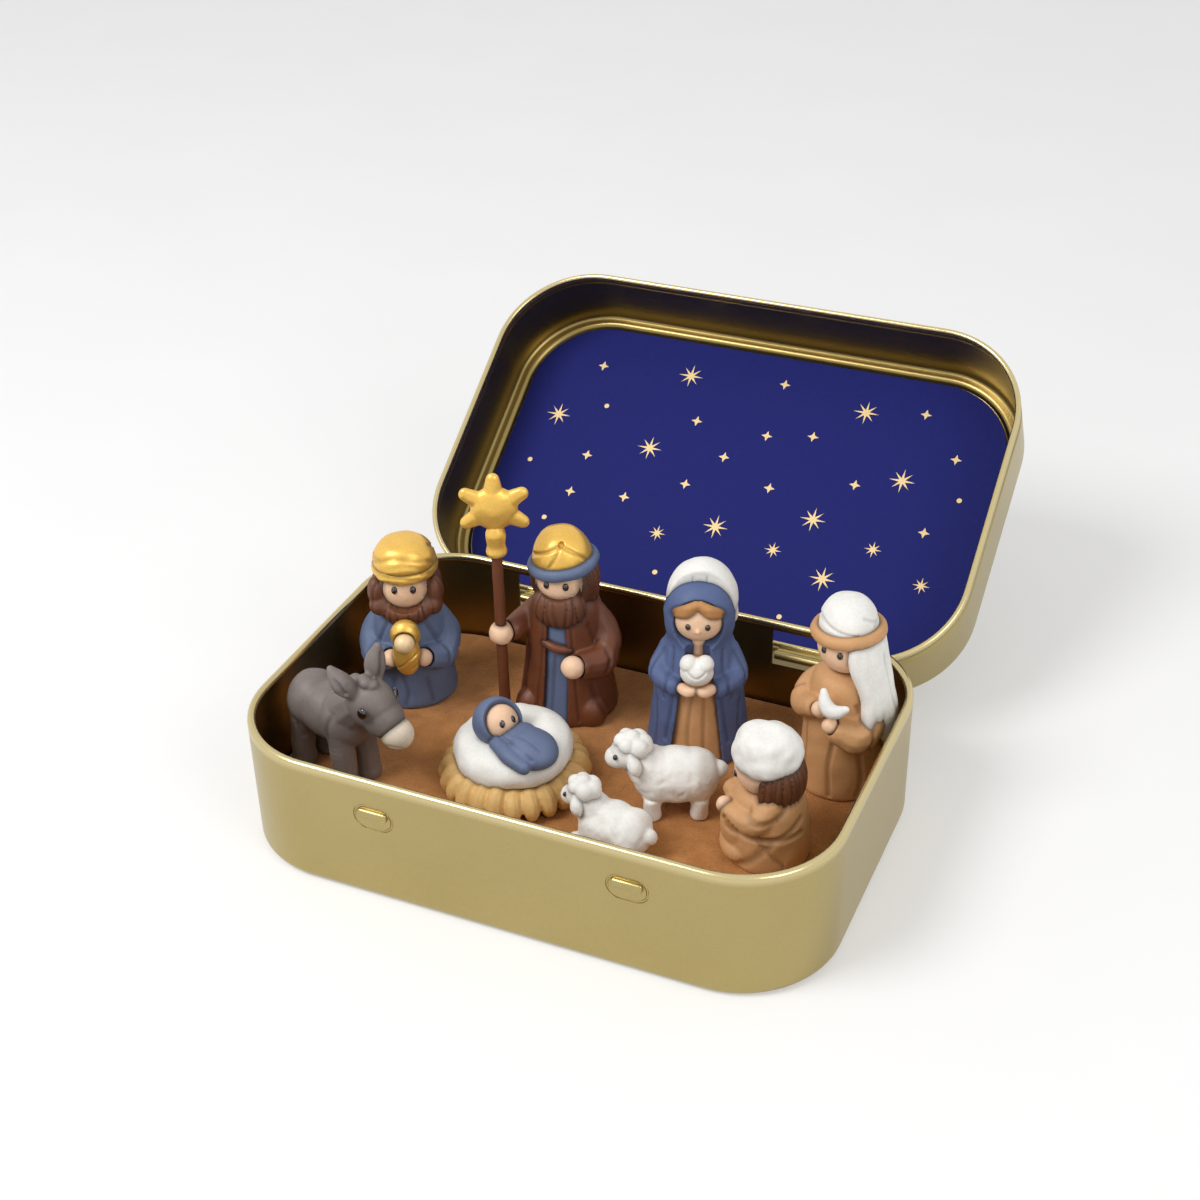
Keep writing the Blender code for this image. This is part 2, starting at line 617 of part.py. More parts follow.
def star_bearer():
    stand = figure_stand("star_bearer")
    radius, height = COAT_RADIUS, COAT_HEIGHT
    head_z = height + 0.64 * STAR_HEAD_RADIUS
    head_y = -0.12 * STAR_HEAD_RADIUS
    band_z = head_z + 0.55 * STAR_HEAD_RADIUS
    head = piece("star_bearer_head", SKIN_CLAY, [ball(stand, (0, head_y, head_z), (STAR_HEAD_RADIUS,) * 3)])
    band = piece("star_bearer_cap_band", BLUE_CLAY,
                 [ring(stand, (0, head_y, band_z), CAP_RADIUS + 0.3 * CAP_BAND, CAP_BAND, (0, CAP_LEAN))],
                 clear_of=[head])
    crown = dome(stand, (0, head_y, band_z), CAP_RADIUS, CAP_HEIGHT, CAP_LEAN)
    piece("star_bearer_cap_crown", GOLD_CLAY, [crown], clear_of=[head, band])
    wide = STAR_HEAD_RADIUS + STAR_BEARD_SIZE
    hair = ball(stand, (0, 0.12 * wide, head_z - STAR_BEARD_DROP), (wide, 0.92 * wide, 0.95 * wide))
    chin = ball(stand, (0, head_y - 0.6 * wide, head_z - 0.56 * wide),
                (0.76 * wide, 0.48 * wide, 0.54 * wide))
    above = block(stand, (-2 * wide, -2 * wide, 0), (2 * wide, 2 * wide, 3 * wide))
    tilt = Matrix.Rotation(math.radians(CAP_LEAN), 4, "Y")
    above.data.transform(Matrix.Translation((0, head_y, band_z)) @ tilt)
    beard = piece("star_bearer_beard", BROWN_CLAY, [hair, chin], carve=[above], clear_of=[head, band])
    staff_x, staff_y = -0.82 * STAFF_REACH, -0.57 * STAFF_REACH
    pole = [(0, STAFF_LENGTH), (0.9 * STAFF_RADIUS, STAFF_LENGTH), (STAFF_RADIUS, 0), (0, 0)]
    staff = piece("star_staff", BROWN_CLAY,
                  [turned(stand, pole, steps=12, place=Matrix.Translation((staff_x, staff_y, 0)))])
    star_z = STAFF_LENGTH + 0.4 * STAR_SOCKET_LENGTH + 0.95 * STAR_RADIUS
    flat = star_outline()
    bm = bmesh.new()
    bm.from_mesh(evaluated_mesh(flat))
    bpy.data.objects.remove(flat, do_unlink=True)
    bmesh.ops.remove_doubles(bm, verts=bm.verts, dist=MERGE_DISTANCE)
    bmesh.ops.recalc_face_normals(bm, faces=bm.faces)
    star = tool_object("star_flat", mesh_from(bm, "star"), stand)
    upright = Matrix.Rotation(math.radians(STAR_TURN), 4, "Z") @ Matrix.Rotation(math.pi / 2, 4, "X")
    star.data.transform(Matrix.Translation((staff_x, staff_y, star_z)) @ upright)
    sleeve = [(0, 2 * STAR_SOCKET_LENGTH), (0.8 * STAR_SOCKET_RADIUS, 2 * STAR_SOCKET_LENGTH),
              (STAR_SOCKET_RADIUS, 0.4 * STAR_SOCKET_LENGTH), (STAR_SOCKET_RADIUS, 0), (0, 0)]
    socket = turned(stand, sleeve, steps=12,
                    place=Matrix.Translation((staff_x, staff_y, STAFF_LENGTH - STAR_SOCKET_LENGTH / 2)))
    piece("star_top", GOLD_CLAY, [star, socket], clear_of=[staff])
    grip = ball(stand, (staff_x, staff_y, 0.74 * height), (STAR_HAND_RADIUS,) * 3)
    staff_hand = piece("star_bearer_staff_hand", SKIN_CLAY, [grip], clear_of=[staff])
    fist = ball(stand, (0.40 * radius, -1.03 * radius, 0.58 * height),
                (STAR_HAND_RADIUS, 0.85 * STAR_HAND_RADIUS, STAR_HAND_RADIUS))
    free_hand = piece("star_bearer_free_hand", SKIN_CLAY, [fist])
    front = block(stand, (-TUNIC_WIDTH / 2, -2 * radius, -height),
                  (TUNIC_WIDTH / 2, -0.3 * radius, 0.93 * height))
    core = turned(stand, scaled(COAT, radius - TUNIC_INSET, height))
    tunic = piece("star_bearer_tunic", BLUE_CLAY, [core], within=[front], clear_of=[beard])
    belt_z = 0.66 * height
    strap = small_ball(stand, (0, -0.77 * radius + TUNIC_INSET, belt_z),
                       (0.42 * TUNIC_WIDTH, BELT_THICKNESS / 2, BELT_HEIGHT / 2))
    belt = piece("star_bearer_belt", BROWN_CLAY, [strap], clear_of=[tunic])
    near = limb(stand, [
        (0.48 * radius, 0.08 * radius, 0.86 * height, 0.22 * radius),
        (0.84 * radius, -0.05 * radius, 0.66 * height, 0.28 * radius),
        (0.86 * radius, -0.5 * radius, 0.54 * height, 0.29 * radius),
        (0.55 * radius, -0.86 * radius, 0.56 * height, 0.26 * radius)])
    far = limb(stand, [
        (-0.46 * radius, 0.06 * radius, 0.86 * height, 0.22 * radius),
        (-0.80 * radius, -0.22 * radius, 0.74 * height, 0.25 * radius),
        (staff_x + 0.7 * STAR_HAND_RADIUS, staff_y + 0.8 * STAR_HAND_RADIUS, 0.73 * height, 0.23 * radius)])
    coat = turned(stand, scaled(COAT, radius, height))
    piece("star_bearer_coat", BROWN_CLAY, [coat, near, far], carve=[front],
          clear_of=[head, beard, tunic, belt, staff, staff_hand, free_hand])


def mother():
    stand = figure_stand("mother")
    radius, height, hood = MANTLE_RADIUS, MANTLE_HEIGHT, MANTLE_HOOD_RADIUS
    neck_z = height - 2.1 * hood
    head_z, head_y = height - 1.05 * hood, -0.25 * hood
    outline = [(0, height), (0.5 * hood, height - 0.12 * hood), (0.84 * hood, height - 0.45 * hood),
               (hood, height - 0.95 * hood), (0.97 * hood, height - 1.5 * hood), (0.9 * hood, neck_z),
               (0.76 * radius, 0.8 * neck_z), (0.86 * radius, 0.5 * neck_z), (0.96 * radius, 0.15 * neck_z),
               (radius, 0.03 * neck_z), (0.97 * radius, 0), (0, 0)]
    head = piece("mother_head", SKIN_CLAY, [ball(stand, (0, head_y, head_z), (MOTHER_HEAD_RADIUS,) * 3)])
    fringe_spot = (0, head_y - 0.05 * hood, head_z + 0.3 * MOTHER_HEAD_RADIUS)
    fringe_size = (0.95 * MOTHER_HEAD_RADIUS, 1.05 * MOTHER_HEAD_RADIUS, 0.9 * MOTHER_HEAD_RADIUS)
    brow = block(stand, (-radius, -2 * radius, 0), (radius, 2 * radius, head_z + 0.42 * MOTHER_HEAD_RADIUS))
    piece("mother_hair", STRAW_CLAY, [ball(stand, fringe_spot, fringe_size)], carve=[brow], clear_of=[head])
    hand_y, hand_z = -0.9 * radius, 0.78 * neck_z
    hands = []
    for side, word in ((-1, "right"), (1, "left")):
        spot = (side * 1.12 * MOTHER_HAND_RADIUS + side * GAP, hand_y, hand_z)
        palm = small_ball(stand, spot, (MOTHER_HAND_RADIUS,) * 3)
        hands.append(piece(f"mother_{word}_hand", SKIN_CLAY, [palm]))
    bundle_z = hand_z + MOTHER_HAND_RADIUS + 1.3 * BUNDLE_RADIUS
    lobes = [ball(stand, (0, hand_y, bundle_z - 0.3 * BUNDLE_RADIUS), (1.25 * BUNDLE_RADIUS,) * 3)]
    for side in (-1, 1):
        lobes.append(ball(stand, (side * 0.62 * BUNDLE_RADIUS, hand_y, bundle_z + 0.55 * BUNDLE_RADIUS),
                          (BUNDLE_RADIUS,) * 3))
    bundle = piece("mother_bundle", WHITE_CLAY, lobes, clear_of=[head, *hands])
    inner = turned(stand, [(max(reach - DRESS_INSET, 0), level) for reach, level in outline])
    wedge = [(0, 1.05 * neck_z), (0.2 * DRESS_WIDTH, 1.05 * neck_z), (0.5 * DRESS_WIDTH, -DRESS_WIDTH),
             (0, -DRESS_WIDTH)]
    apron = turned(stand, wedge, place=Matrix.Translation((0, -0.75 * radius, 0)))
    dress = piece("mother_dress", TAN_CLAY, [inner], within=[apron], clear_of=[head, bundle, *hands])
    sleeves = []
    for side in (-1, 1):
        sleeves.append(limb(stand, [
            (side * 0.58 * radius, -0.05 * radius, 0.95 * neck_z, 0.20 * radius),
            (side * 0.74 * radius, -0.36 * radius, 0.78 * neck_z, 0.24 * radius),
            (side * 0.42 * radius, -0.76 * radius, 0.76 * neck_z, 0.20 * radius)]))
    opening = ball(stand, (0, head_y - 0.75 * hood, head_z - 0.05 * hood),
                   (0.66 * hood, 0.8 * hood, 0.86 * hood))
    piece("mother_mantle", BLUE_CLAY, [turned(stand, outline), *sleeves], carve=[opening, apron],
          clear_of=[head, ball(stand, fringe_spot, fringe_size), bundle, dress, *hands], solver="MANIFOLD")
    cover = hood + VEIL_THICKNESS
    veil = ball(stand, (0, 0.2 * hood, height - 0.78 * hood), (0.97 * cover, 0.97 * cover, cover))
    front = block(stand, (-2 * hood, -3 * hood, 0), (2 * hood, -0.12 * hood, 2 * height))
    piece("mother_veil", WHITE_CLAY, [veil], carve=[front], clear_of=[turned(stand, outline)])


def manger():
    stand = figure_stand("manger")
    radius, height = NEST_RADIUS, NEST_HEIGHT
    dish = 0.74 * height
    outline = [(0, dish), (0.72 * radius, dish), (0.80 * radius, height), (0.92 * radius, 0.92 * height),
               (radius, 0.58 * height), (0.96 * radius, 0.2 * height), (0.87 * radius, 0), (0, 0)]
    nest = turned(stand, outline, steps=2 * NEST_LUMPS)
    for vert in nest.data.vertices:
        reach = Vector(vert.co.xy).length
        if reach > 0.75 * radius:
            angle = math.atan2(vert.co.y, vert.co.x)
            swell = 1 + NEST_LUMP_DEPTH * math.cos(NEST_LUMPS * angle) / reach
            vert.co.x *= swell
            vert.co.y *= swell
    piece("manger_nest", STRAW_CLAY, [nest])
    top = dish + GAP + MATTRESS_HEIGHT
    head_spot = Vector((-0.2 * MATTRESS_RADIUS, -0.08 * MATTRESS_RADIUS, top + 0.62 * BABY_HEAD_RADIUS))
    head = piece("baby_head", SKIN_CLAY, [ball(stand, head_spot, (BABY_HEAD_RADIUS,) * 3)])
    cowl = BABY_HEAD_RADIUS + BABY_HOOD_THICKNESS
    face = ball(stand, head_spot + Vector((0.55, -0.62, 0.75)) * cowl, (cowl,) * 3)
    wrap = ball(stand, head_spot + Vector((-0.1, 0.08, 0)) * cowl, (cowl,) * 3)
    hood = piece("baby_hood", BLUE_CLAY, [wrap], carve=[face], clear_of=[head])
    along = Vector((0.66, -0.75, -0.12)).normalized()
    middle = head_spot + along * (BABY_HEAD_RADIUS + 0.42 * BABY_LENGTH)
    middle.z -= 0.45 * BABY_HEAD_RADIUS
    body = ball(stand, middle, (BABY_LENGTH / 2, BABY_WIDTH / 2, 0.36 * BABY_WIDTH), (0, 7, -48))
    side = Vector((-0.75, -0.66, 0)) * 0.46 * BABY_WIDTH
    start = middle + side - along * 0.42 * BABY_LENGTH
    end = middle + side + along * 0.3 * BABY_LENGTH
    roll = limb(stand, [(*start, 0.8 * BABY_ARM_RADIUS), (*((start + end) / 2 + 0.3 * side), BABY_ARM_RADIUS),
                        (*end, 0.8 * BABY_ARM_RADIUS)])
    swaddle = piece("baby_swaddle", BLUE_CLAY, [body, roll], clear_of=[head, hood])
    waist = 0.7 * radius - GAP
    lip = height + GAP
    wide = MATTRESS_RADIUS
    soft = [(0, top), (0.5 * wide, top - 0.06 * MATTRESS_HEIGHT), (0.85 * wide, top - 0.26 * MATTRESS_HEIGHT),
            (wide, 0.55 * top + 0.45 * lip), (0.96 * wide, lip), (waist, lip), (waist, dish + GAP),
            (0, dish + GAP)]
    piece("manger_mattress", WHITE_CLAY, [turned(stand, soft, steps=20)], clear_of=[head, hood, swaddle],
          solver="MANIFOLD")


def leg(figure, x, y, length, radius):
    """A stubby leg, its foot flat on the floor."""
    outline = [(0, length), (1.05 * radius, length), (0.9 * radius, 0.4 * length), (radius, 0), (0, 0)]
    return turned(figure, outline, steps=10, place=Matrix.Translation((x, y, 0)))


def donkey():
    stand = figure_stand("donkey")
    length, width, depth = DONKEY_LENGTH, DONKEY_WIDTH, DONKEY_BODY_HEIGHT
    middle = DONKEY_LEG_LENGTH + 0.45 * depth
    body = ball(stand, (0, 0, middle), (width / 2, length / 2, depth / 2))
    legs = []
    for across in (-1, 1):
        for along in (-1, 1):
            legs.append(leg(stand, across * 0.25 * width, along * 0.33 * length, middle, DONKEY_LEG_RADIUS))
    size = DONKEY_HEAD_LENGTH
    top = middle + 0.34 * depth
    head_spot = Vector((0.08 * size, -0.5 * length - 0.14 * size, top + 0.16 * size))
    neck = limb(stand, [(0, -0.24 * length, middle + 0.1 * depth, 0.34 * width), (*head_spot, 0.3 * size)])
    skull = ball(stand, head_spot, (0.34 * size, 0.5 * size, 0.37 * size), DONKEY_HEAD_TURN)
    nose = Vector((0.08, -0.46, -0.36)) * size
    mane = DONKEY_MANE_RADIUS
    crest = limb(stand, [(0, -0.2 * length, middle + 0.48 * depth, 0.7 * mane),
                         (*(head_spot + Vector((0.02, 0.26, 0.34)) * size), mane),
                         (*(head_spot + Vector((-0.02, -0.02, 0.42)) * size), 0.9 * mane)])
    reach, thick = DONKEY_EAR_LENGTH, DONKEY_EAR_RADIUS
    root = head_spot + Vector((0.16, 0.06, 0.28)) * size
    upright = limb(stand, [(*root, 0.8 * thick), (*(root + Vector((0.08, -0.02, 0.5)) * reach), thick),
                           (*(root + Vector((0.2, -0.04, 0.98)) * reach), 0.3 * thick)])
    root = head_spot + Vector((-0.22, 0.1, 0.24)) * size
    drooped = limb(stand, [(*root, 0.75 * thick), (*(root + Vector((-0.35, -0.05, 0.1)) * reach), thick),
                           (*(root + Vector((-0.62, -0.3, -0.22)) * reach), 0.3 * thick)])
    coat = piece("donkey_body", GREY_CLAY, [body, *legs, neck, skull, crest, upright, drooped])
    tip = ball(stand, head_spot + nose, (0.25 * size, 0.27 * size, 0.24 * size), DONKEY_HEAD_TURN)
    piece("donkey_muzzle", CREAM_CLAY, [tip], clear_of=[coat])


def sheep_head(stand, name, spot, radius, body):
    """A smooth face with drooping ears under a cap of wool."""
    muzzle = ball(stand, spot + Vector((0, -0.72, -0.32)) * radius,
                  (0.62 * radius, 0.66 * radius, 0.56 * radius))
    ears = [small_ball(stand, spot + Vector((side * 0.98, 0.2, -0.02)) * radius,
                       (0.3 * radius, 0.42 * radius, 0.72 * radius), (0, side * 18, 0))
            for side in (-1, 1)]
    skull = ball(stand, spot, (0.92 * radius, radius, 0.95 * radius))
    face = piece(f"{name}_head", WHITE_CLAY, [skull, muzzle, *ears], clear_of=[body])
    tuft = small_ball(stand, spot + Vector((0, 0.3, 0.86)) * radius,
                      (0.9 * radius, 0.85 * radius, 0.5 * radius))
    piece(f"{name}_wool_cap", WHITE_CLAY, [tuft], clear_of=[face, body])


def standing_sheep():
    stand = figure_stand("standing_sheep")
    middle = SHEEP_LEG_LENGTH + 0.46 * SHEEP_BODY_HEIGHT
    fleece = ball(stand, (0, 0, middle), (SHEEP_WIDTH / 2, SHEEP_LENGTH / 2, SHEEP_BODY_HEIGHT / 2))
    legs = [leg(stand, across * 0.26 * SHEEP_WIDTH, along * 0.28 * SHEEP_LENGTH, middle, SHEEP_LEG_RADIUS)
            for across in (-1, 1) for along in (-1, 1)]
    tail = small_ball(stand, (0, 0.5 * SHEEP_LENGTH, middle + 0.1 * SHEEP_BODY_HEIGHT),
                      (SHEEP_TAIL_RADIUS,) * 3)
    body = piece("standing_sheep_body", WHITE_CLAY, [fleece, *legs, tail])
    spot = Vector((0, -0.5 * SHEEP_LENGTH - 0.2 * SHEEP_HEAD_RADIUS, middle + 0.48 * SHEEP_BODY_HEIGHT))
    sheep_head(stand, "standing_sheep", spot, SHEEP_HEAD_RADIUS, body)


def lying_sheep():
    stand = figure_stand("lying_sheep")
    middle = 0.44 * LAMB_HEIGHT
    fleece = ball(stand, (0, 0, middle), (LAMB_WIDTH / 2, LAMB_LENGTH / 2, 0.56 * LAMB_HEIGHT))
    knee = (LAMB_KNEE_RADIUS, 1.5 * LAMB_KNEE_RADIUS, LAMB_KNEE_RADIUS)
    knees = [small_ball(stand, (side * 0.3 * LAMB_WIDTH, -0.34 * LAMB_LENGTH, 0.16 * LAMB_HEIGHT), knee)
             for side in (-1, 1)]
    tail = small_ball(stand, (0, 0.5 * LAMB_LENGTH, 0.5 * LAMB_HEIGHT), (LAMB_TAIL_RADIUS,) * 3)
    below = block(stand, (-LAMB_WIDTH, -LAMB_LENGTH, -LAMB_HEIGHT), (LAMB_WIDTH, LAMB_LENGTH, 0))
    body = piece("lying_sheep_body", WHITE_CLAY, [fleece, *knees, tail], carve=[below])
    spot = Vector((0, -0.46 * LAMB_LENGTH, middle + 0.62 * LAMB_HEIGHT))
    sheep_head(stand, "lying_sheep", spot, LAMB_HEAD_RADIUS, body)


def standing_shepherd():
    stand = figure_stand("standing_shepherd")
    radius, height = SHEPHERD_ROBE_RADIUS, SHEPHERD_ROBE_HEIGHT
    head_z = height + 0.9 * SHEPHERD_HEAD_RADIUS
    ring_z = head_z + 0.58 * SHEPHERD_HEAD_RADIUS
    head = piece("standing_shepherd_head", SKIN_CLAY,
                 [ball(stand, (0, 0, head_z), (SHEPHERD_HEAD_RADIUS,) * 3)])
    band = piece("standing_shepherd_ring", TAN_CLAY,
                 [ring(stand, (0, 0, ring_z), SCARF_RADIUS + 0.35 * SCARF_RING, SCARF_RING)], clear_of=[head])
    piece("standing_shepherd_scarf", WHITE_CLAY, [dome(stand, (0, 0, ring_z), SCARF_RADIUS, SCARF_HEIGHT)],
          clear_of=[head, band])
    palms = ((0.03 * radius, -1.1 * radius, 0.815 * height), (0.3 * radius, -1.06 * radius, 0.7 * height))
    hands = [piece(f"standing_shepherd_{word}_hand", SKIN_CLAY,
                   [small_ball(stand, spot, (SHEPHERD_HAND_RADIUS,) * 3)])
             for spot, word in zip(palms, ("right", "left"))]
    bean = limb(stand, [(0.14 * radius, -1.14 * radius, 0.99 * height, 0.7 * CRESCENT_RADIUS),
                        (0.24 * radius, -1.2 * radius, 0.9 * height, CRESCENT_RADIUS),
                        (0.45 * radius, -1.18 * radius, 0.86 * height, 1.05 * CRESCENT_RADIUS),
                        (0.68 * radius, -1.06 * radius, 0.89 * height, 0.7 * CRESCENT_RADIUS)])
    crescent = piece("standing_shepherd_crescent", WHITE_CLAY, [bean], clear_of=hands)
    sleeves = []
    for side, drop in ((-1, 0.06), (1, 0.0)):
        sleeves.append(limb(stand, [
            (side * 0.52 * radius, 0.05 * radius, 0.88 * height, 0.24 * radius),
            (side * 0.84 * radius, -0.2 * radius, (0.68 + drop) * height, 0.32 * radius),
            (side * 0.74 * radius, -0.66 * radius, (0.61 + drop) * height, 0.36 * radius),
            (side * 0.38 * radius, -0.92 * radius, (0.67 + drop) * height, 0.28 * radius)]))
    robe = piece("standing_shepherd_robe", TAN_CLAY, [turned(stand, scaled(BELL, radius, height)), *sleeves],
                 clear_of=[head, crescent, *hands])
    wide = SHEPHERD_HEAD_RADIUS + SCARF_TAIL_THICKNESS
    fall = [(0, ring_z), (0.8 * wide, ring_z), (wide, head_z),
            (radius + 0.7 * SCARF_TAIL_THICKNESS, 0.8 * height),
            (radius + SCARF_TAIL_THICKNESS, SCARF_TAIL_END), (0, SCARF_TAIL_END)]
    cloth = turned(stand, fall)
    back = block(stand, (-0.4 * SCARF_TAIL_WIDTH, 0.12 * wide, 0),
                 (0.6 * SCARF_TAIL_WIDTH, 3 * wide, 2 * height))
    piece("standing_shepherd_scarf_tail", WHITE_CLAY, [cloth], within=[back], clear_of=[head, band, robe],
          solver="MANIFOLD")


def seated_shepherd():
    stand = figure_stand("seated_shepherd")
    radius, height = SEATED_ROBE_RADIUS, SEATED_ROBE_HEIGHT
    head_z, head_y = height + 0.72 * SEATED_HEAD_RADIUS, -0.2 * SEATED_HEAD_RADIUS
    head = piece("seated_shepherd_head", SKIN_CLAY,
                 [ball(stand, (0, head_y, head_z), (SEATED_HEAD_RADIUS,) * 3)])
    cap_z = head_z + 0.2 * SEATED_HEAD_RADIUS
    cap = piece("seated_shepherd_cap", WHITE_CLAY,
                [dome(stand, (0, 0, cap_z), SEATED_CAP_RADIUS, SEATED_CAP_HEIGHT)], clear_of=[head])
    wide = SEATED_HEAD_RADIUS + SEATED_HAIR_SIZE
    bob = ball(stand, (0, 0.1 * wide, head_z - 0.32 * wide), (0.95 * wide, 0.9 * wide, 0.85 * wide))
    face = block(stand, (-2 * wide, -3 * wide, 0), (2 * wide, -0.28 * wide, 2 * height))
    hair = piece("seated_shepherd_hair", BROWN_CLAY, [bob], carve=[face], clear_of=[head, cap])
    palm = small_ball(stand, (0.3 * radius, -1.02 * radius, 0.74 * height), (SEATED_HAND_RADIUS,) * 3)
    hand = piece("seated_shepherd_hand", SKIN_CLAY, [palm])
    knees = ball(stand, (0, -0.62 * radius, 0.44 * height), (0.74 * radius, 0.52 * radius, 0.42 * height))
    sleeves = []
    for side in (-1, 1):
        sleeves.append(limb(stand, [
            (side * 0.62 * radius, 0.1 * radius, 0.86 * height, 0.26 * radius),
            (side * 0.84 * radius, -0.35 * radius, 0.62 * height, 0.27 * radius),
            (side * 0.44 * radius, -0.86 * radius, 0.68 * height, 0.24 * radius)]))
    piece("seated_shepherd_robe", TAN_CLAY, [turned(stand, scaled(SQUAT, radius, height)), knees, *sleeves],
          clear_of=[head, hair, hand])


base_tray()
floor_liner()
lid(empty("lid_hinge", (0, HINGE_Y, HINGE_Z), lean=-LID_OPEN))
gift_bearer()
star_bearer()
mother()
manger()
donkey()
standing_sheep()
lying_sheep()
standing_shepherd()
seated_shepherd()
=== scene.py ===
# %% [markdown]
# # Pocket nativity tin
# A hinged pressed tin stands open like a little stage. A card printed with stars lines the lid, suede lines
# the floor, and nine hand-modelled clay figures stand on it. The CAD frame gives every place and motion.
# This lesson models the looks over it: finer sheet metal, soft clay shapes with folds and seams, and a
# procedural finish for each material.

# %% Load the frame
import math
import random

import bmesh
import bpy
import numpy as np
from mathutils import Matrix, Vector, noise
from mathutils.bvhtree import BVHTree


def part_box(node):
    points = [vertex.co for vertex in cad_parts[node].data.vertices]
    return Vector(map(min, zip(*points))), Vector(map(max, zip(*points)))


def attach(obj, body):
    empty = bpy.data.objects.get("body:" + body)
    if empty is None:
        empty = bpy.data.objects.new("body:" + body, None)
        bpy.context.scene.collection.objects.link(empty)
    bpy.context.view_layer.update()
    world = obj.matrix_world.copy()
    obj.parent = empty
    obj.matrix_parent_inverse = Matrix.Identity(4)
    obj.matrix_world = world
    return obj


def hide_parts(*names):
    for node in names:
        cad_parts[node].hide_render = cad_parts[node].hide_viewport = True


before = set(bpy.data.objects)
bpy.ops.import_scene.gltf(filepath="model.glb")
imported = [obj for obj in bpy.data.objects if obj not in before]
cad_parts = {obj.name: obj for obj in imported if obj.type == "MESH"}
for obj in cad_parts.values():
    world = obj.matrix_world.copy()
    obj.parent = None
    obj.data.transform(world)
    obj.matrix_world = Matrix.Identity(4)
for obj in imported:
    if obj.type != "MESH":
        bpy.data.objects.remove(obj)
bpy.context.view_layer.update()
SCENE = bpy.context.scene
MM = 0.001

# %% [markdown]
# ## The camera
# The photograph looks down on the tin from its front right. The camera was fitted to the rims of the base
# and the lid, so it is kept as the few numbers of that fit: two angles, a small lean, a distance and a
# slide.

# %% Place the camera
PHOTO_WIDTH = 1200
FOCAL_PIXELS = 1935.4
AZIMUTH = math.radians(24.19)
ELEVATION = math.radians(33.21)
LEAN = math.radians(-1.30)
DISTANCE = 301.9 * MM
AIM = Vector((0, 0, 11.1)) * MM
SLIDE_RIGHT = -2.65 * MM
SLIDE_UP = -23.83 * MM


def photo_camera():
    """The camera of the photograph, looking at the tin."""
    back = Vector((math.sin(AZIMUTH) * math.cos(ELEVATION), -math.cos(AZIMUTH) * math.cos(ELEVATION),
                   math.sin(ELEVATION)))
    level = Vector((math.cos(AZIMUTH), math.sin(AZIMUTH), 0))
    rise = back.cross(level)
    right = level * math.cos(LEAN) + rise * math.sin(LEAN)
    up = rise * math.cos(LEAN) - level * math.sin(LEAN)
    lens = bpy.data.cameras.new("photo_camera")
    lens.lens = FOCAL_PIXELS * lens.sensor_width / PHOTO_WIDTH
    lens.clip_start = 0.01
    camera = bpy.data.objects.new("photo_camera", lens)
    SCENE.collection.objects.link(camera)
    place = Matrix((right, up, back)).transposed().to_4x4()
    place.translation = AIM + back * DISTANCE - right * SLIDE_RIGHT - up * SLIDE_UP
    camera.matrix_world = place
    return camera


SCENE.camera = photo_camera()
SCENE.view_settings.view_transform = "Standard"
print("camera at", [round(v / MM) for v in SCENE.camera.location], "mm")

# %% [markdown]
# ## Finishes
# Every finish is a small sum of textures. A class wraps a shader socket so that a sum reads as arithmetic,
# and one method makes any other node from its type, its settings and its sockets.

# %% A socket that adds up
class Wire:
    """A shader value that can be added, subtracted and multiplied."""

    def __init__(self, finish, socket):
        self.finish = finish
        self.socket = socket

    def sum(self, operation, first, second):
        return self.finish.node("ShaderNodeMath", {"operation": operation}, {0: first, 1: second})

    def __add__(self, other):
        return self.sum("ADD", self, other)

    def __sub__(self, other):
        return self.sum("SUBTRACT", self, other)

    def __mul__(self, other):
        return self.sum("MULTIPLY", self, other)

    __radd__ = __add__
    __rmul__ = __mul__


class Finish:
    """A material with one Principled shader, built up node by node."""

    def __init__(self, name, **constants):
        self.material = bpy.data.materials.new(name)
        self.material.use_nodes = True
        self.tree = self.material.node_tree
        self.shader = self.tree.nodes["Principled BSDF"]
        for socket, value in constants.items():
            self.shader.inputs[socket.replace("_", " ")].default_value = value

    def node(self, kind, settings, sockets, output=0):
        """Any node: its settings first, then a value or a wire for each socket."""
        made = self.tree.nodes.new(kind)
        for setting, value in settings.items():
            setattr(made, setting, value)
        for socket, value in sockets.items():
            if isinstance(value, Wire):
                self.tree.links.new(value.socket, made.inputs[socket])
            else:
                made.inputs[socket].default_value = value
        return Wire(self, made.outputs[output])

    def feed(self, socket, wire):
        self.tree.links.new(wire.socket, self.shader.inputs[socket])

    def place(self, kind="Object"):
        return self.node("ShaderNodeTexCoord", {}, {}, kind)

    def noise(self, place, scale, detail=3.0, stretch=(1, 1, 1)):
        spot = self.node("ShaderNodeMapping", {}, {"Vector": place, "Scale": stretch})
        return self.node("ShaderNodeTexNoise", {}, {"Vector": spot, "Scale": scale, "Detail": detail})

    def mix(self, share, low, high):
        return self.node("ShaderNodeMix", {"data_type": "RGBA"}, {0: share, 6: low, 7: high}, 2)

    def bump(self, height, strength, depth):
        return self.node("ShaderNodeBump", {}, {"Height": height, "Strength": strength, "Distance": depth})


def paint(red, green, blue, light=1.0):
    """A colour as written, 0 to 255, in the linear values that shaders take."""
    def linear(value):
        value = value / 255
        return value / 12.92 if value <= 0.04045 else ((value + 0.055) / 1.055) ** 2.4
    return tuple(linear(v) * light for v in (red, green, blue)) + (1.0,)


# %% [markdown]
# ## Clay finishes
# Fired modelling clay is matt with a slight skin shine. Its colour drifts a little where it was kneaded,
# fine grain and finger marks roughen it, and shade is painted dark where pieces meet and in the drawn lines.
# That painted shade is a value kept on each point of the mesh, called seam_shade, worked out further down.

# %% Clay, gold clay and eye varnish
CLOUD = 240
GRAIN = 2400
FINGER = 700


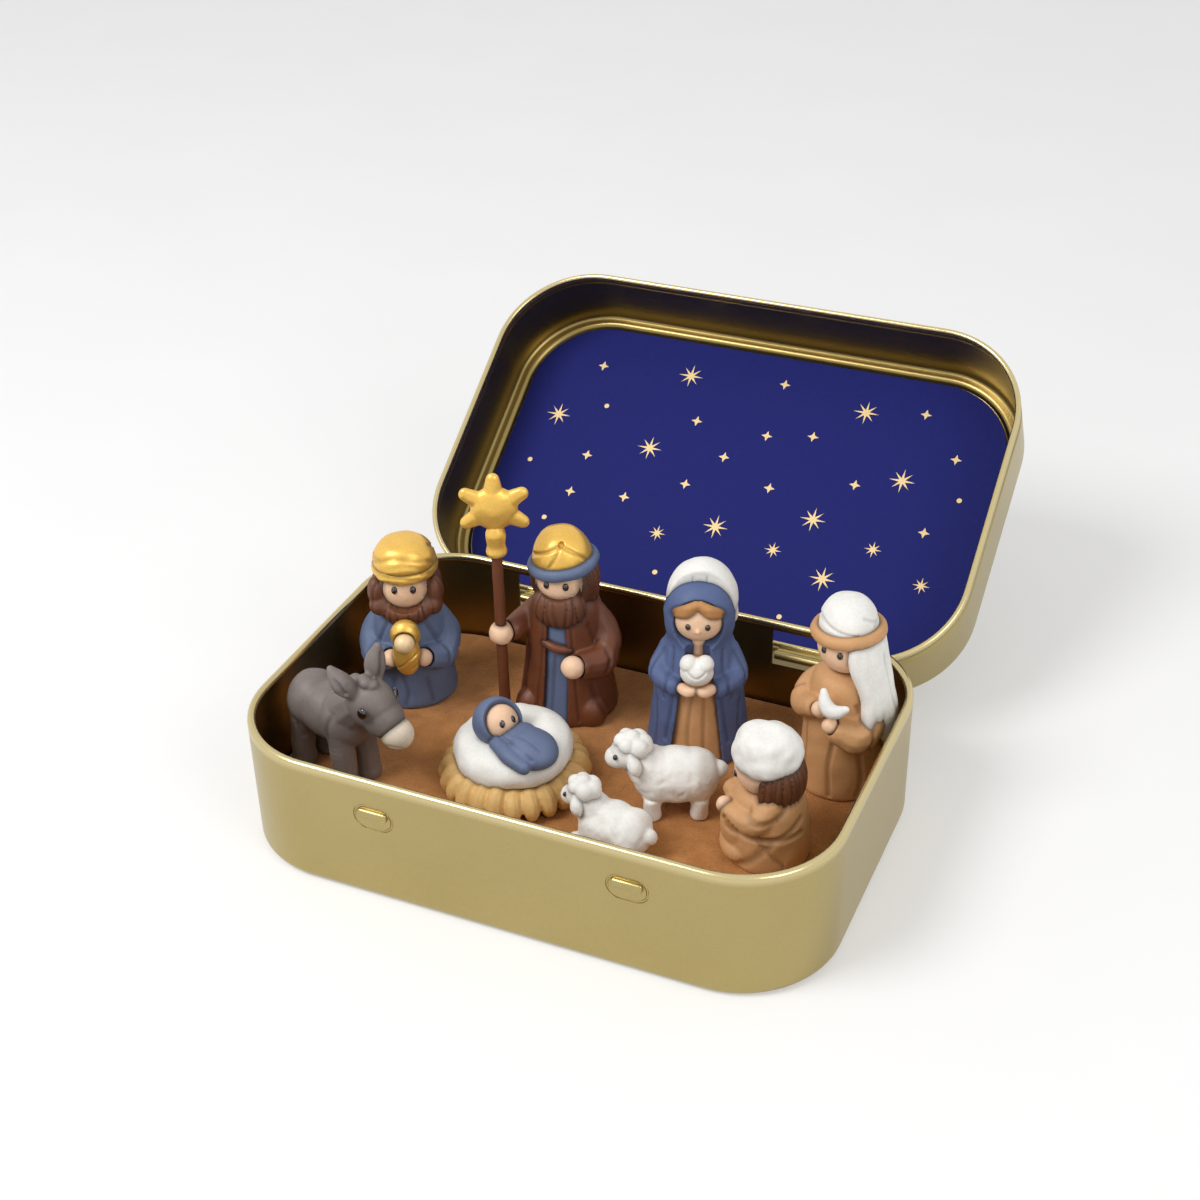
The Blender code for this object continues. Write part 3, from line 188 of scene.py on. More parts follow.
def clay(name, colour, rough=0.6, metal=0.0, painted_shade=0.8):
    """Clay of one colour, with drift, grain, finger marks and painted shade in its seams."""
    finish = Finish(name, Metallic=metal)
    place = finish.place()
    cloud = finish.noise(place, CLOUD)
    grain = finish.noise(place, GRAIN, 4.0)
    finger = finish.noise(place, FINGER, 2.0, (1.0, 1.0, 2.4))
    seam_shade = finish.node("ShaderNodeAttribute", {"attribute_name": "seam_shade"}, {}, "Fac")
    drift = cloud * 0.7 + grain * 0.5 - 0.1
    tone = finish.mix(drift, paint(*colour, 0.74), paint(*colour, 1.16))
    # A dark tone of the colour, mixed in by the seam value: painted shade where pieces meet and in drawn
    # lines.
    shade_colour = paint(*(v * 0.34 for v in colour))
    finish.feed("Base Color", finish.mix(seam_shade * painted_shade, tone, shade_colour))
    finish.feed("Roughness", rough - 0.12 + finger * 0.24)
    finish.feed("Normal", finish.bump(grain * 0.5 + finger, 0.35, 0.00009))
    return finish.material


SKIN = clay("skin_clay", (246, 205, 170), 0.55)
BLUE = clay("blue_clay", (98, 112, 144), 0.6)
MANTLE_BLUE = clay("mantle_blue_clay", (82, 98, 140), 0.62)
BROWN = clay("brown_clay", (110, 60, 34), 0.5)
HAIR = clay("hair_clay", (106, 62, 38), 0.52)
LIGHT_HAIR = clay("light_hair_clay", (190, 136, 80), 0.55)
TAN = clay("tan_clay", (206, 156, 106), 0.6)
WHITE = clay("white_clay", (242, 240, 234), 0.6, painted_shade=0.5)
STRAW = clay("straw_clay", (224, 182, 114), 0.6)
GREY = clay("grey_clay", (122, 112, 108), 0.5)
CREAM = clay("cream_clay", (226, 212, 190), 0.6)
GOLD = clay("gold_clay", (242, 194, 94), 0.36, 0.55)
PALE_GOLD = clay("pale_gold_clay", (248, 214, 164), 0.45, 0.1)


def eye_finish():
    """Dark varnished dots: near black, with a faint cloud and a clear coat."""
    finish = Finish("eye_varnish", Coat_Weight=1.0, Coat_Roughness=0.05)
    cloud = finish.noise(finish.place(), GRAIN)
    finish.feed("Base Color", finish.mix(cloud, paint(22, 15, 12), paint(40, 27, 20)))
    finish.feed("Roughness", 0.15 + cloud * 0.1)
    return finish.material


EYE = eye_finish()
print("clay finishes:", len([m for m in bpy.data.materials if m.name.endswith("_clay")]))

# %% [markdown]
# ## Tin, card and suede finishes
# The tin is lacquered tinplate, a pale gold satin with a fine even grain; its rolled edges are painted
# brighter as a highlight, and its faces towards the tin's middle are painted darker as shade. The card is
# dark blue with a linen emboss, and its stars are printed in warm metallic ink. Suede has a nap that lies
# this way and that, so its brown clouds from light to dark.

# %% Tin, card, ink and suede
def tin_finish():
    finish = Finish("gold_tin", Metallic=1.0)
    place = finish.place()
    grain = finish.noise(place, 5200, 2.0)
    cloud = finish.noise(place, 60, 2.0)
    rim_highlight = finish.node("ShaderNodeAttribute", {"attribute_name": "rim_highlight"}, {}, "Fac")
    inner_shade = finish.node("ShaderNodeAttribute", {"attribute_name": "inner_shade"}, {}, "Fac")
    # Faces towards the tin's middle take a darker copy of the lacquer, as painted shade.
    outer = finish.mix(grain * 0.6 + cloud * 0.4, paint(164, 147, 97), paint(188, 171, 118))
    shaded_lacquer = finish.mix(grain * 0.6 + cloud * 0.4, paint(134, 116, 70), paint(158, 138, 88))
    lacquer = finish.mix(inner_shade, outer, shaded_lacquer)
    # The rolled edges are mixed towards pale gold and made glossier: a painted highlight.
    finish.feed("Base Color", finish.mix(rim_highlight * 0.5, lacquer, paint(232, 216, 168)))
    finish.feed("Roughness", 0.24 + grain * 0.12 - rim_highlight * 0.08)
    finish.feed("Normal", finish.bump(grain, 0.12, 0.00004))
    return finish.material


def card_finish():
    finish = Finish("blue_card", Specular_IOR_Level=0.15)
    print_place = finish.place("UV")
    warp = finish.noise(print_place, 2.6, 2.0, (0.12, 1.0, 1.0))
    weft = finish.noise(print_place, 2.6, 2.0, (1.0, 0.12, 1.0))
    linen = warp + weft
    finish.feed("Base Color", finish.mix(linen * 0.5, paint(20, 25, 92), paint(36, 42, 118)))
    finish.feed("Roughness", 0.55 + linen * 0.14)
    finish.feed("Normal", finish.bump(linen, 0.3, 0.00008))
    return finish.material


def ink_finish():
    finish = Finish("star_ink", Metallic=0.25)
    grain = finish.noise(finish.place(), 4200, 2.0)
    finish.feed("Base Color", finish.mix(grain, paint(226, 188, 118), paint(248, 226, 176)))
    finish.feed("Roughness", 0.45 + grain * 0.2)
    return finish.material


def suede_finish():
    finish = Finish("brown_suede", Sheen_Weight=0.25, Specular_IOR_Level=0.2)
    place = finish.place()
    nap = finish.noise(place, 380, 5.0)
    fibre = finish.noise(place, 2300, 3.0)
    finish.feed("Base Color",
                finish.mix(nap * 0.9 + fibre * 0.5 - 0.2, paint(142, 90, 42), paint(206, 142, 80)))
    finish.feed("Roughness", 0.86 + fibre * 0.12)
    finish.feed("Normal", finish.bump(fibre + nap * 0.6, 0.8, 0.0003))
    return finish.material


TIN = tin_finish()
CARD = card_finish()
INK = ink_finish()
SUEDE = suede_finish()
print("finishes in all:", len(bpy.data.materials))

# %% [markdown]
# ## Showing a piece
# A finished piece stands for one CAD node: it rides that node's body and hides the node. Eyes and printed
# ink lie on such a piece.


def link(mesh, name):
    piece = bpy.data.objects.new(name, mesh)
    SCENE.collection.objects.link(piece)
    return piece


def show(name, mesh, finish, body, *nodes):
    """The mesh, in world metres, as a piece that rides a body in place of CAD nodes."""
    mesh.materials.clear()
    mesh.materials.append(finish)
    mesh.shade_smooth()
    piece = link(mesh, name)
    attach(piece, body)
    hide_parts(*nodes)
    return piece


def discard(piece):
    source = piece.data
    bpy.data.objects.remove(piece)
    bpy.data.meshes.remove(source)


def baked(piece):
    """The piece's mesh with its modifiers applied; the piece itself goes."""
    graph = bpy.context.evaluated_depsgraph_get()
    mesh = bpy.data.meshes.new_from_object(piece.evaluated_get(graph))
    discard(piece)
    return mesh


def as_mesh(shape, name):
    """A bmesh as a mesh; the bmesh itself goes."""
    mesh = bpy.data.meshes.new(name)
    shape.to_mesh(mesh)
    shape.free()
    return mesh


def scratch(shape):
    """A bmesh as a passing object, for modifiers to work on."""
    return link(as_mesh(shape, "scratch"), "scratch")


# %% [markdown]
# ## The pressed tin
# Both halves are drawn from sheet: a flat panel, a rounded foot, a straight wall and an edge curled inwards
# so that it doesn't cut. The panel is a grid with rounded corners, and each next ring is extruded from its
# rim, so one list of (inset, height) pairs is the whole section.

# %% Press a sheet
CORNER_STEPS = 18
CURL_STEPS = 9
SHEET = 0.4


def arc(inset, height, radius, start, end, steps=CURL_STEPS):
    """(inset, height) pairs round an arc of the section; 180 degrees points outwards."""
    turns = [math.radians(start + (end - start) * i / steps) for i in range(steps + 1)]
    return [(inset + radius * math.cos(t), height + radius * math.sin(t)) for t in turns]


def rounded_panel(shape, half_x, half_y, corner):
    """A flat panel with round corners."""
    size = Matrix.Diagonal((half_x, half_y, 1, 1))
    panel = bmesh.ops.create_grid(shape, x_segments=1, y_segments=1, size=1, matrix=size)
    bmesh.ops.bevel(shape, geom=panel["verts"], offset=corner, segments=CORNER_STEPS, profile=0.5,
                    affect="VERTICES", material=-1)


def rounded_plate(half_x, half_y, corner, thickness, y, low):
    """A plate with round corners, its underside at the height given last."""
    shape = bmesh.new()
    rounded_panel(shape, half_x, half_y, corner)
    bmesh.ops.solidify(shape, geom=shape.faces[:], thickness=thickness)
    ground = min(v.co.z for v in shape.verts)
    bmesh.ops.translate(shape, verts=shape.verts, vec=(0, y, low - ground))
    bmesh.ops.recalc_face_normals(shape, faces=shape.faces)
    return shape


def pressed(width, depth, corner, section, highlight_from):
    """A pressed sheet in millimetres, panel down; rings after the given one are marked for a painted
    highlight.
    """
    shape = bmesh.new()
    rim_highlight = shape.verts.layers.float.new("rim_highlight")
    first, base = section[0]
    rounded_panel(shape, width / 2 - first, depth / 2 - first, corner - first)
    rim = [e for e in shape.edges if e.is_boundary]
    ring = list({v for e in rim for v in e.verts})
    for vert in ring:
        vert.co.z = base
    before = first
    middle_x, middle_y = width / 2 - corner, depth / 2 - corner
    for number, (inset, height) in enumerate(section[1:]):
        grown = bmesh.ops.extrude_edge_only(shape, edges=rim)["geom"]
        ring = [g for g in grown if isinstance(g, bmesh.types.BMVert)]
        rim = [g for g in grown if isinstance(g, bmesh.types.BMEdge) and g.is_boundary]
        share = (corner - inset) / (corner - before)
        for vert in ring:
            hub = Vector((max(-middle_x, min(middle_x, vert.co.x)),
                          max(-middle_y, min(middle_y, vert.co.y)), 0))
            out = (vert.co - hub) * share
            vert.co = Vector((hub.x + out.x, hub.y + out.y, height))
            # Rings of the rolled edge are marked for a painted highlight.
            vert[rim_highlight] = 1.0 if number >= highlight_from else 0.0
        before = inset
    bmesh.ops.recalc_face_normals(shape, faces=shape.faces)
    return shape


TRAY_LOW, TRAY_HIGH = (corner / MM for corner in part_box("base_tray"))
TRAY_WIDTH = TRAY_HIGH.x - TRAY_LOW.x
TRAY_DEPTH = 2 * TRAY_HIGH.y
TRAY_HEIGHT = TRAY_HIGH.z
TRAY_CORNER = 15.6
FOOT = 1.6
CURL = 0.65
wall_start = [(FOOT + 2.0, 0), (FOOT + 0.3, 0)] + arc(FOOT, FOOT, FOOT, 270, 180)
wall = [(0, FOOT + 0.4), (0, TRAY_HEIGHT - 2 * CURL - 0.4)]
curl = arc(CURL, TRAY_HEIGHT - CURL, CURL, 180, -40)
tray_shape = pressed(TRAY_WIDTH, TRAY_DEPTH, TRAY_CORNER, wall_start + wall + curl,
                     len(wall_start + wall) - 1)
print("tray:", [round(v, 1) for v in (TRAY_WIDTH, TRAY_DEPTH, TRAY_HEIGHT)], "mm")

# %% [markdown]
# The back wall is pierced twice for the hinge tabs. In front two catches are struck in the sheet: a drawn
# oval line, with a bar pushed out in its upper half that the lid snaps over.

# %% Slots and catches
SLOT_PLACES = (-18.9, 26.8)
SLOT_WIDTH = 13.0
SLOT_LOW, SLOT_HIGH = 13.2, 20.1
CATCH_PLACES = (-19.6, 20.6)
CATCH_HEIGHT = TRAY_HEIGHT - 6.6
CATCH_WIDTH, CATCH_TALL = 6.2, 4.0
LINE = 0.24
BAR_WIDTH, BAR_TALL, BAR_PROUD = 4.8, 1.5, 0.6
BAR_RISE, BAR_SUNK, BAR_ROUND = 0.75, 0.3, 0.45
SLOT_CUT = 1.5
TRAY_SHARP = math.radians(32)


def block(shape, low, high, soften=0.0):
    """A block between two corners, its edges rounded if asked."""
    low, high = Vector(low), Vector(high)
    place = Matrix.Translation((low + high) / 2) @ Matrix.Diagonal((*(high - low), 1))
    made = bmesh.ops.create_cube(shape, size=1, matrix=place)["verts"]
    if soften:
        edges = list({e for v in made for e in v.link_edges})
        bmesh.ops.bevel(shape, geom=edges, offset=soften, segments=4, profile=0.5, affect="EDGES",
                        material=-1)


def oval_line(shape, x, y, z, width, tall, radius):
    """A closed tube round an upright oval."""
    half = tall / 2
    run = width / 2 - half
    path = [(x + run + half * math.sin(t), z + half * math.cos(t)) for t in np.linspace(0, math.pi, 13)]
    path += [(x - run - half * math.sin(t), z - half * math.cos(t)) for t in np.linspace(0, math.pi, 13)]
    loops = []
    for i, (px, pz) in enumerate(path):
        (ax, az), (bx, bz) = path[i - 1], path[(i + 1) % len(path)]
        along = Vector((bx - ax, 0, bz - az)).normalized()
        aside = Vector((0, 1, 0)).cross(along)
        turns = [2 * math.pi * k / 8 for k in range(8)]
        loops.append([shape.verts.new(Vector((px, y, pz)) + radius * (aside * math.cos(t) + Vector((0, 1, 0))
                                                                    * math.sin(t))) for t in turns])
    for one, two in zip(loops, loops[1:] + loops[:1]):
        for k in range(8):
            shape.faces.new((one[k], one[k - 1], two[k - 1], two[k]))
    bmesh.ops.recalc_face_normals(shape, faces=shape.faces)


def carve(piece, tool, operation="DIFFERENCE"):
    """One Boolean of the piece with a tool shape, applied."""
    other = scratch(tool)
    cut = piece.modifiers.new("cut", "BOOLEAN")
    cut.solver = "MANIFOLD"
    cut.operation = operation
    cut.object = other
    mesh = baked(piece)
    discard(other)
    return link(mesh, "scratch")


def thick(shape, thickness):
    """The sheet with its thickness on the inside."""
    piece = scratch(shape)
    skin = piece.modifiers.new("sheet", "SOLIDIFY")
    skin.thickness = thickness
    skin.offset = -1
    skin.use_even_offset = True
    return link(baked(piece), "scratch")


def read(items, name, width):
    values = np.empty(len(items) * width)
    items.foreach_get(name, values)
    return values.reshape(-1, width)


def mark_inner_shade(mesh, width, depth, corner):
    """A value of 1 on each point of the sheet that faces the tin's middle, where the lacquer is painted
    darker as shade.
    """
    at = read(mesh.vertices, "co", 3)
    normals = read(mesh.vertex_normals, "vector", 3)
    hub_x = np.clip(at[:, 0], corner - width / 2, width / 2 - corner)
    hub_y = np.clip(at[:, 1], corner - depth / 2, depth / 2 - corner)
    inward = (hub_x - at[:, 0]) * normals[:, 0] + (hub_y - at[:, 1]) * normals[:, 1]
    panel = (normals[:, 2] > 0.6) & (at[:, 2] < at[:, 2].max() / 2)
    inner_shade = ((inward > 0.5) | panel).astype(float)
    mesh.attributes.new("inner_shade", "FLOAT", "POINT").data.foreach_set("value", inner_shade)


slots = bmesh.new()
front = -TRAY_DEPTH / 2
for x in SLOT_PLACES:
    block(slots, (x - SLOT_WIDTH / 2, TRAY_DEPTH / 2 - SLOT_CUT, SLOT_LOW),
          (x + SLOT_WIDTH / 2, TRAY_DEPTH / 2 + SLOT_CUT, SLOT_HIGH))
for x in CATCH_PLACES:
    oval_line(slots, x, front, CATCH_HEIGHT, CATCH_WIDTH, CATCH_TALL, LINE)
tray = carve(thick(tray_shape, SHEET), slots)
bars = bmesh.new()
for x in CATCH_PLACES:
    z = CATCH_HEIGHT + BAR_RISE
    block(bars, (x - BAR_WIDTH / 2, front - BAR_PROUD, z - BAR_TALL / 2),
          (x + BAR_WIDTH / 2, front + BAR_SUNK, z + BAR_TALL / 2), BAR_ROUND)
tray = carve(tray, bars, "UNION")
tray_mesh = baked(tray)
mark_inner_shade(tray_mesh, TRAY_WIDTH, TRAY_DEPTH, TRAY_CORNER)
tray_mesh.transform(Matrix.Scale(MM, 4))
show("tray_sheet", tray_mesh, TIN, "base", "base_tray")
tray_mesh.set_sharp_from_angle(angle=TRAY_SHARP)
print("tray sheet:", len(tray_mesh.polygons), "faces")

# %% [markdown]
# The lid is pressed the same way, with a step and a small bead round its panel that frame the card. It is
# drawn shut about its hinge and then swung open by the angle of the stored pose. Two tabs are rolled
# through the slots.

# %% The lid
HINGE = Vector((0, 32.1, 16.3))
OPEN_ANGLE = math.radians(147)
OPEN = Matrix.Rotation(-OPEN_ANGLE, 4, "X")
TO_WORLD = Matrix.Scale(MM, 4) @ Matrix.Translation(HINGE) @ OPEN
LID_WIDTH, LID_DEPTH, LID_HEIGHT, LID_CORNER = 96.8, 64.4, 15.3, 16.7
LID_MIDDLE = -LID_DEPTH / 2 + 0.1
LID_SHEET = 0.3
LID_CURL = 0.5
STEP_RISE, LID_ROUND = 0.8, 1.3
bead = [(4.2, 0), (2.75, 0), (2.5, 0.12), (2.2, 0.62), (1.95, 0.95), (1.6, 0.98)]
shoulder = arc(LID_ROUND, STEP_RISE + LID_ROUND, LID_ROUND, 250, 180)
groove = ((0, 3.0), (0.02, 2.6), (0.3, 2.3), (0.3, 1.6), (0.05, 1.3))
lid_wall = [(0, 2.6)] + [(inset, LID_HEIGHT - drop) for inset, drop in groove]
lid_curl = arc(LID_CURL, LID_HEIGHT - LID_CURL, LID_CURL, 180, -40)
lid_shape = pressed(LID_WIDTH, LID_DEPTH, LID_CORNER, bead + shoulder + lid_wall + lid_curl,
                    len(bead + shoulder + lid_wall) - 1)
lid_mesh = baked(thick(lid_shape, LID_SHEET))
mark_inner_shade(lid_mesh, LID_WIDTH, LID_DEPTH, LID_CORNER)
UPSIDE_DOWN = Matrix.Translation((0, LID_MIDDLE, LID_HEIGHT)) @ Matrix.Rotation(math.pi, 4, "Y")
lid_mesh.transform(TO_WORLD @ UPSIDE_DOWN)
TAB_HALF, TAB_ROLL, TAB_PLATE = 5.8, 0.75, 0.45
TAB_IN, TAB_OUT, TAB_DROP = 1.8, 0.9, 0.6


def tabs():
    """Two rolled tabs that hook through the slots: a plate from the lid and a bar along its edge."""
    shape = bmesh.new()
    for x in SLOT_PLACES:
        spot = Vector((x, HINGE.y - TAB_IN, HINGE.z - TAB_DROP))
        lying = Matrix.Translation(spot) @ Matrix.Rotation(math.pi / 2, 4, "Y")
        bmesh.ops.create_cone(shape, cap_ends=True, segments=24, radius1=TAB_ROLL, radius2=TAB_ROLL,
                              depth=2 * TAB_HALF, matrix=lying)
        block(shape, (x - TAB_HALF, spot.y, spot.z - TAB_PLATE / 2),
              (x + TAB_HALF, HINGE.y + TAB_OUT, spot.z + TAB_PLATE / 2))
    mesh = as_mesh(shape, "hinge_tabs")
    mesh.transform(Matrix.Scale(MM, 4))
    return mesh


show("lid_sheet", lid_mesh, TIN, "lid", "lid_shell")
tab_piece = show("hinge_tabs", tabs(), TIN, "lid", "lid_shell")
tab_piece.modifiers.new("edge", "EDGE_SPLIT")
print("lid sheet:", len(lid_mesh.polygons), "faces")

# %% [markdown]
# ## The card of stars
# A printed card fills the lid's panel. Its stars are flat ink, so each is a fan of long and short rays laid
# a hair above the paper. There are large stars with eight rays, smaller ones, four-ray sparkles and dots.
# Each star's place is a pixel read in the photograph, and the camera's ray through it meets the card
# there.

# %% Card and stars
CARD_INSET = 3.1
CARD_FACE = 14.3
CARD_THICK = 0.4
INK_RISE = 0.03
LARGE_STARS = ((559, 414), (691, 376), (650, 448), (866, 413), (902, 481), (715, 527), (813, 520), (822, 579))
MIDDLE_STARS = ((657, 533), (873, 550), (773, 550), (921, 586))
SPARKLES = ((604, 366), (785, 385), (926, 415), (697, 421), (767, 436), (813, 437), (587, 455), (724, 457),
            (570, 491), (624, 497), (769, 488), (855, 485), (924, 533), (956, 460), (685, 484))
DOTS = ((607, 406), (530, 459), (544, 517), (655, 572), (959, 501), (779, 617))
# Pixels, number of rays, long ray, short ray and waist
STAR_KINDS = ((LARGE_STARS, 8, 2.4, 2.2, 0.6), (MIDDLE_STARS, 8, 1.6, 1.4, 0.45),
              (SPARKLES, 4, 1.05, 1.05, 0.42), (DOTS, 8, 0.48, 0.48, 0.46))


def under_pixel(column, row):
    """The place on the card, right and up in millimetres, that the photograph shows at a pixel."""
    to_lid = TO_WORLD.inverted()
    eye = to_lid @ SCENE.camera.matrix_world
    ray = eye.to_3x3() @ Vector((column - PHOTO_WIDTH / 2, PHOTO_WIDTH / 2 - row, -FOCAL_PIXELS))
    hit = eye.translation + ray * ((CARD_FACE - eye.translation.z) / ray.z)
    return round(hit.x, 1), round(LID_MIDDLE - hit.y, 1)


def on_card(x, up, lift=0.0):
    """A place on the card, in the shut lid's frame: right along the hinge and up away from it."""
    return Vector((x, LID_MIDDLE - up, CARD_FACE - lift))


def card_sheet():
    shape = rounded_plate(LID_WIDTH / 2 - CARD_INSET, LID_DEPTH / 2 - CARD_INSET, LID_CORNER - CARD_INSET,
                          CARD_THICK, LID_MIDDLE, CARD_FACE)
    sheet = shape.loops.layers.uv.new("print")
    for face in shape.faces:
        for corner in face.loops:
            corner[sheet].uv = (corner.vert.co.x, corner.vert.co.y)
    mesh = as_mesh(shape, "card")
    mesh.transform(TO_WORLD)
    return mesh


def star(shape, x, up, rays, long, short, waist):
    """A flat star of rays that take turns to be long and short."""
    rim = []
    for i in range(rays):
        angle = 2 * math.pi * i / rays
        reach = short if i % 2 else long
        for r, a in ((reach, angle), (waist, angle + math.pi / rays)):
            rim.append(shape.verts.new(on_card(x + r * math.sin(a), up + r * math.cos(a), INK_RISE)))
    middle = shape.verts.new(on_card(x, up, INK_RISE))
    for one, two in zip(rim, rim[1:] + rim[:1]):
        shape.faces.new((middle, one, two))


def star_print():
    shape = bmesh.new()
    for pixels, *cut in STAR_KINDS:
        for pixel in pixels:
            star(shape, *under_pixel(*pixel), *cut)
    bmesh.ops.recalc_face_normals(shape, faces=shape.faces)
    mesh = as_mesh(shape, "star_print")
    mesh.transform(TO_WORLD)
    return mesh


card = show("card_sheet", card_sheet(), CARD, "lid", "sky_card")
card.data.shade_flat()
prints = show("star_print", star_print(), INK, "lid", "sky_card")
prints.data.shade_flat()
print("stars printed:", sum(len(kind[0]) for kind in STAR_KINDS))

# %% [markdown]
# ## The suede floor
# A board wrapped in suede lies in the tray. It is a rounded plate with a soft edge.

# %% The liner
LINER_LOW, LINER_HIGH = (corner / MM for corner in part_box("floor_liner"))
LINER_CORNER = 14.9
LINER_EDGE = 0.7


def liner():
    shape = rounded_plate(LINER_HIGH.x, LINER_HIGH.y, LINER_CORNER, LINER_HIGH.z - LINER_LOW.z, 0,
                          LINER_LOW.z)
    edge = [e for e in shape.edges
            if abs(e.verts[0].co.z - e.verts[1].co.z) < 0.01 and len(e.link_faces) == 2]
    bmesh.ops.bevel(shape, geom=edge, offset=LINER_EDGE, segments=4, profile=0.5, affect="EDGES", material=-1)
    mesh = as_mesh(shape, "liner")
    mesh.transform(Matrix.Scale(MM, 4))
    return mesh


show("suede_floor", liner(), SUEDE, "base", "floor_liner")
print("liner top at", round(LINER_HIGH.z, 2), "mm")

# %% [markdown]
# ## Working in clay
# The figures were rolled, pressed together and drawn on with a tool, and they are modelled the same way. A
# lump collects balls, rolls and turned forms; remeshing joins them into one skin, cutters open hoods and
# cuffs, and relaxing the skin rounds every edge as a finger would.

# %% Lumps
FINE = 0.2


def smooth_path(points, steps=8):
    """Points on a smooth curve through the given ones, of any number of columns."""
    points = np.array(points, float)
    spread = np.vstack([2 * points[0] - points[1], points, 2 * points[-1] - points[-2]])
    t = np.linspace(0, 1, steps, endpoint=False)[:, None]
    runs = []
    for a, b, c, d in zip(spread, spread[1:], spread[2:], spread[3:]):
        runs.append(0.5 * (2 * b + (c - a) * t + (2 * a - 5 * b + 4 * c - d) * t ** 2
                           + (3 * b - a - 3 * c + d) * t ** 3))
    return np.vstack(runs + [points[-1:]])


def tilt(x, y, z):
    """A turn by degrees about x, then y, then z."""
    turns = [Matrix.Rotation(math.radians(a), 4, axis) for a, axis in ((x, "X"), (y, "Y"), (z, "Z"))]
    return turns[2] @ turns[1] @ turns[0]


class Lump:
    """Clay shapes in a figure's own millimetres, waiting to be joined."""

    def __init__(self):
        self.shape = bmesh.new()

    def ball(self, centre, radii, turn=(0, 0, 0), segments=40):
        if not isinstance(radii, tuple):
            radii = (radii, radii, radii)
        place = Matrix.Translation(centre) @ tilt(*turn) @ Matrix.Diagonal((*radii, 1))
        bmesh.ops.create_uvsphere(self.shape, u_segments=segments, v_segments=segments * 5 // 8, radius=1,
                                  matrix=place)
        return self

    def roll(self, *points, steps=9):
        """A rope of balls along a smooth path of x, y, z and radius."""
        for x, y, z, radius in smooth_path(points, steps):
            bmesh.ops.create_icosphere(self.shape, subdivisions=2, radius=radius,
                                       matrix=Matrix.Translation((x, y, z)))
        return self

    def turned(self, outline, centre=(0, 0, 0), turn=(0, 0, 0), steps=64):
        """A form turned about an upright axis; the outline runs from the top down as (radius, height)."""
        side = [(max(r, 0.02), z) for r, z in smooth_path(outline, 6)]
        path = [(0, outline[0][1])] + side + [(0, outline[-1][1])]
        place = Matrix.Translation(centre) @ tilt(*turn)
        verts = [self.shape.verts.new((r, 0, z)) for r, z in path]
        edges = [self.shape.edges.new(pair) for pair in zip(verts, verts[1:])]
        bmesh.ops.spin(self.shape, geom=verts + edges, cent=(0, 0, 0), axis=(0, 0, 1), angle=2 * math.pi,
                       steps=steps, use_merge=True)
        whole = set(verts)
        reach = list(verts)
        while reach:
            for edge in reach.pop().link_edges:
                for vert in edge.verts:
                    if vert not in whole:
                        whole.add(vert)
                        reach.append(vert)
        bmesh.ops.remove_doubles(self.shape, verts=list(whole), dist=0.001)
        whole = [v for v in whole if v.is_valid]
        faces = list({f for v in whole for f in v.link_faces})
        bmesh.ops.recalc_face_normals(self.shape, faces=faces)
        bmesh.ops.transform(self.shape, matrix=place, verts=whole)
        return self

    def ring(self, centre, radius, wide, tall, turn=(0, 0, 0)):
        """A ring of oval section about an upright axis."""
        points = [(radius * math.sin(t), radius * math.cos(t)) for t in np.linspace(0, 2 * math.pi, 73)[:-1]]
        place = Matrix.Translation(centre) @ tilt(*turn)
        for x, y in points:
            bead = place @ Matrix.Translation((x, y, 0)) @ Matrix.Diagonal((wide, wide, tall, 1))
            bmesh.ops.create_icosphere(self.shape, subdivisions=2, radius=1, matrix=bead)
        return self

    def block(self, low, high):
        block(self.shape, low, high)
        return self

    def wedge(self, y_front, y_back, top, bottom):
        """An upright wedge; top and bottom are (left, right, height)."""
        made = bmesh.ops.create_cube(self.shape, size=1)["verts"]
        for vert in made:
            left, right, height = top if vert.co.z > 0 else bottom
            vert.co = Vector((right if vert.co.x > 0 else left, y_back if vert.co.y > 0 else y_front, height))
        return self

    def plain(self):
        """The shapes as they are."""
        return as_mesh(self.shape, "clay")

    def fired(self, cuts=(), within=None, fine=FINE, relax=5):
        """One joined skin, cut, rounded and relaxed."""
        piece = scratch(self.shape)
        remesh(piece, fine)
        piece = link(baked(piece), "scratch")
        for cut in cuts:
            piece = carve(piece, cut.shape)
        if within:
            piece = carve(piece, within.shape, "INTERSECT")
        if cuts or within:
            remesh(piece, fine)
        soft = piece.modifiers.new("relax", "SMOOTH")
        soft.factor = 0.5
        soft.iterations = relax
        return baked(piece)


def remesh(piece, fine):
    skin = piece.modifiers.new("skin", "REMESH")
    skin.mode = "VOXEL"
    skin.voxel_size = fine


# %% [markdown]
# A skin is then drawn on. A crease is a stroke of a rounded tool: it lowers the skin along a path, or
# raises it as a fold when its depth is negative. Most paths are given round an upright axis, by their turn
# from the front and their height. Kneading adds the slow unevenness of a hand-made surface.

